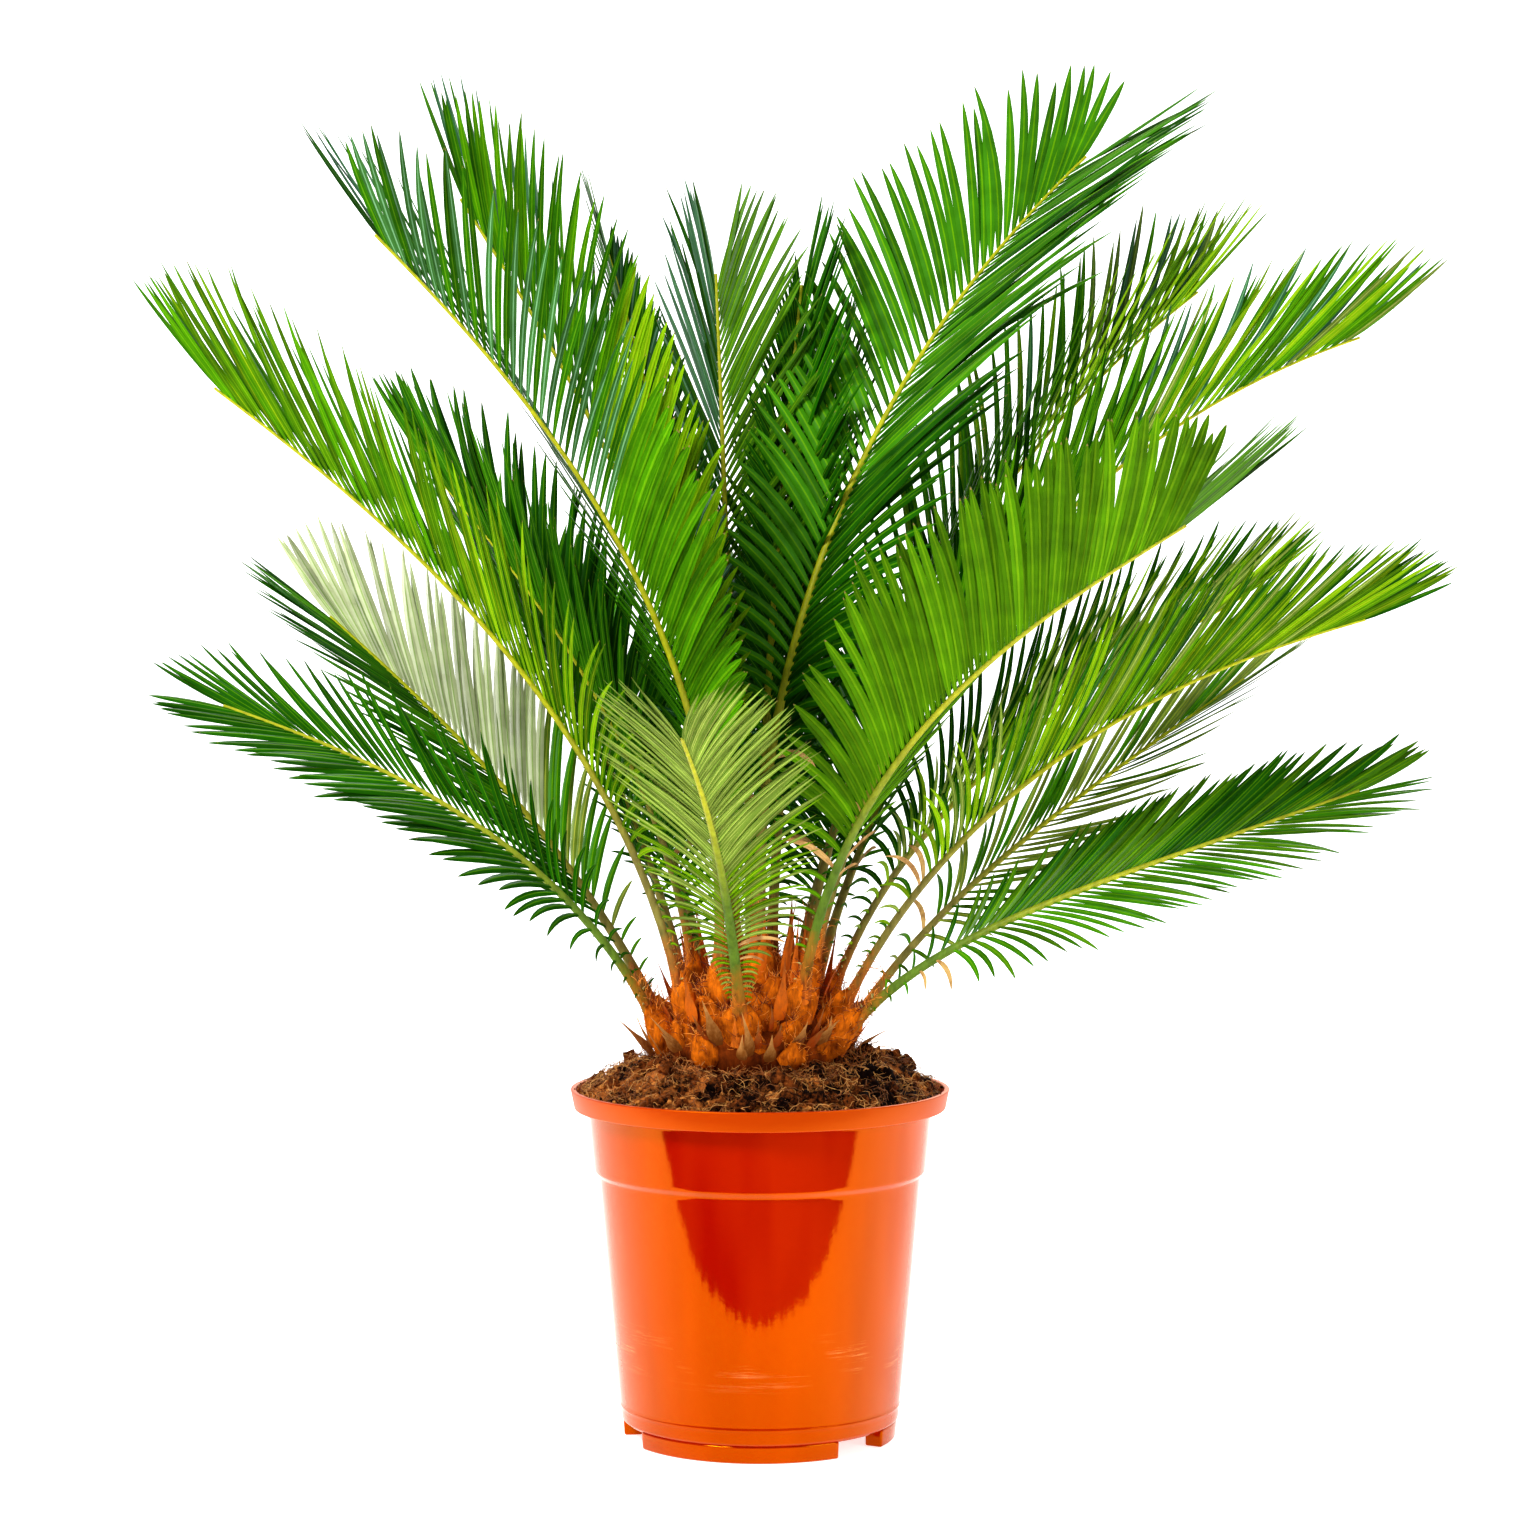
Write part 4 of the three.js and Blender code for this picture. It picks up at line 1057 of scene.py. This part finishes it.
make_caudex()
wool_roots = make_leaf_bases()
for frond in FRONDS.values():
    wool_roots += rib_foot_roots(frond)
bright_skin = plain_thread("wool_bright", dark=(0.70, 0.16, 0.008), light=(1.0, 0.42, 0.06))
bright_tufts = wool_tufts(wool_roots, seed=31, count=3800, lengths=(3, 9), radii=(0.16, 0.3))
make_strands("wool_bright", bright_tufts, bright_skin)
dark_skin = plain_thread("wool_dark", dark=(0.05, 0.006, 0.001), light=(0.32, 0.06, 0.005))
dark_tufts = wool_tufts(wool_roots, seed=32, count=3000, lengths=(3, 10), radii=(0.14, 0.28))
make_strands("wool_dark", dark_tufts, dark_skin)
bud_skin = scale_skin("bud_scale", foot=(0.66, 0.15, 0.008), tip=(0.26, 0.07, 0.012))
make_bracts("bud_scales", bud_skin, seed=41, count=26, lengths=(22, 48), widths=(4, 8),
            ring=(0.05, 0.75), curls=(-0.25, 0.25), splay=0.35)
short_skin = scale_skin("short_scale", foot=(0.40, 0.07, 0.005), tip=(0.30, 0.12, 0.03))
make_bracts("short_scales", short_skin, seed=43, count=30, lengths=(10, 24), widths=(3, 7),
            ring=(0.45, 1.0), curls=(-0.6, 0.5), splay=0.9)
papery_skin = scale_skin("papery_scale", foot=(0.24, 0.08, 0.012), tip=(0.52, 0.25, 0.075))
make_bracts("papery_scales", papery_skin, seed=42, count=26, lengths=(14, 32), widths=(4, 9),
            ring=(0.85, 1.1), curls=(-0.8, 0.8), splay=0.8)

leaf_skins = {(green, side): leaf_surface(green, side, colour, gloss)
              for green, (*colours, gloss) in GREENS.items()
              for side, colour in zip(SIDES, colours)}
tip_skin, dry_skin = leaf_tip(), dry_leaf()
rib_skins = {
    "olive": rib_skin("rib_olive", stalk=(0.19, 0.16, 0.035), upper=(0.42, 0.42, 0.01)),
    "green": rib_skin("rib_green", stalk=(0.10, 0.17, 0.015), upper=(0.40, 0.40, 0.02)),
}
GREEN_STALKS = ("front", "right_1", "right_5", "left_1")
thorns = []
for name, frond in FRONDS.items():
    frames = rib_frames(frond)
    make_rib(name, frond, frames, rib_skins["green" if name in GREEN_STALKS else "olive"])
    make_leaflets(name, frond, frames, leaf_skins, tip_skin, dry_skin)
    thorns += thorn_paths(frond, frames, random.Random(name + "thorns"))
thorn_skin = plain_thread("thorn", dark=(0.34, 0.26, 0.07), light=(0.60, 0.50, 0.18))
make_strands("stalk_thorns", thorns, thorn_skin)


# ---------------------------------------------------------------- floor, light and camera
def stage_card(name, near, edge, material):
    """A flat card for the set: narrow strips from a straight near side to the points of its far edge."""
    solid = bmesh.new()
    for first, second in zip(edge, edge[1:]):
        strip = [(first[0], near, first[2]), (second[0], near, second[2]), second, first]
        solid.faces.new([solid.verts.new(corner) for corner in strip])
    bmesh.ops.remove_doubles(solid, verts=solid.verts, dist=1e-6)
    card = bpy.data.objects.new(name, mesh_from(solid, name))
    bpy.context.scene.collection.objects.link(card)
    card.data.materials.append(material)
    return card


def make_backdrop():
    """A white sheet that runs along the floor and bends up behind the plant."""
    white = Recipe("backdrop_paper", Roughness=0.9, Specular_IOR_Level=0.1, Emission_Strength=0.62)
    grain = white.noise(0.4)
    white.feed("Base Color", white.mix(grain, (0.88, 0.88, 0.89), (0.92, 0.92, 0.92)))
    white.feed("Emission Color", (1.0, 1.0, 1.0))
    near, far, bend, top, half, steps = -6.0, 3.0, 0.8, 5.0, 6.0, 8
    floor = -0.2 * MM
    profile = [(near, floor), (far - bend, floor)]
    for step in range(1, steps + 1):
        turn = math.radians(90 * step / steps)
        profile.append((far - bend + bend * math.sin(turn), floor + bend - bend * math.cos(turn)))
    profile.append((far, top))
    solid = bmesh.new()
    side = [solid.verts.new((-half, y, z)) for y, z in profile]
    edges = [solid.edges.new(pair) for pair in zip(side, side[1:])]
    made = bmesh.ops.extrude_edge_only(solid, edges=edges)["geom"]
    moved = [item for item in made if isinstance(item, bmesh.types.BMVert)]
    bmesh.ops.translate(solid, verts=moved, vec=(2 * half, 0, 0))
    paper = bpy.data.objects.new("studio_floor", mesh_from(solid, "studio_floor"))
    bpy.context.scene.collection.objects.link(paper)
    paper.data.materials.append(white.material)


def make_far_wall():
    """A white box round the set, which only the camera sees, past the ends of the sheet."""
    plain = Recipe("wall_paint", Roughness=1.0, Specular_IOR_Level=0.0, Emission_Strength=1.0)
    plain.feed("Base Color", (0.8, 0.8, 0.8))
    plain.feed("Emission Color", (1.0, 1.0, 1.0))
    plain.material.cycles.emission_sampling = "NONE"
    shell = bmesh.new()
    bmesh.ops.create_cube(shell, size=18)
    far_wall = bpy.data.objects.new("studio_wall", mesh_from(shell, "studio_wall"))
    bpy.context.scene.collection.objects.link(far_wall)
    far_wall.data.materials.append(plain.material)
    far_wall.visible_diffuse = far_wall.visible_glossy = far_wall.visible_shadow = False
    far_wall.visible_transmission = False


def make_dark_card():
    """The dark floor of the room in front of the set, with a ragged edge. It shows only in gloss."""
    dark = Recipe("room_floor", Roughness=0.9, Specular_IOR_Level=0.0)
    dark.feed("Base Color", dark.mix(dark.noise(0.5), (0.01, 0.01, 0.01), (0.03, 0.03, 0.03)))
    dice = random.Random(61)
    front, back, half, height, teeth, bite = -1.6, -0.252, 1.6, 0.001, 500, 0.010
    ragged = [(-half + 2 * half * tooth / teeth, back + dice.uniform(-bite, bite), height)
              for tooth in range(teeth + 1)]
    card = stage_card("room_floor", front, ragged, dark.material)
    card.visible_camera = card.visible_diffuse = card.visible_shadow = False


def add_softbox(name, place, target, size, power):
    """A square softbox that faces a point."""
    lamp = bpy.data.lights.new(name, "AREA")
    lamp.shape, lamp.size, lamp.energy = "SQUARE", size, power
    holder = bpy.data.objects.new(name, lamp)
    holder.location = place
    holder.rotation_euler = (Vector(target) - Vector(place)).to_track_quat("-Z", "Y").to_euler()
    bpy.context.scene.collection.objects.link(holder)


CAMERA_PLACE, CAMERA_PITCH, CAMERA_LENS = (0.004, -1.811, 0.412), -2.43, 85


def make_camera():
    """A long lens in front of the plant, a little above its middle and tilted down."""
    lens = bpy.data.cameras.new("camera")
    lens.lens, lens.sensor_width = CAMERA_LENS, 36
    camera = bpy.data.objects.new("camera", lens)
    camera.location = CAMERA_PLACE
    camera.rotation_euler = (math.radians(90 + CAMERA_PITCH), 0, 0)
    bpy.context.scene.collection.objects.link(camera)
    bpy.context.scene.camera = camera


make_backdrop()
make_far_wall()
make_dark_card()
make_camera()
middle = (0, 0, 0.4)
add_softbox("key", (-1.2, -1.3, 1.9), middle, size=0.7, power=52)
add_softbox("fill", (1.7, -1.2, 1.0), middle, size=1.0, power=15)
add_softbox("back", (0.4, 1.8, 1.8), middle, size=1.0, power=25)
world = bpy.data.worlds.new("studio")
world.use_nodes = True
sky = world.node_tree.nodes["Background"].inputs
sky["Color"].default_value = (1, 1, 1, 1)
sky["Strength"].default_value = 0.34
bpy.context.scene.world = world
bpy.context.scene.view_settings.view_transform = "Standard"
bpy.context.scene.view_settings.look = "Medium High Contrast"
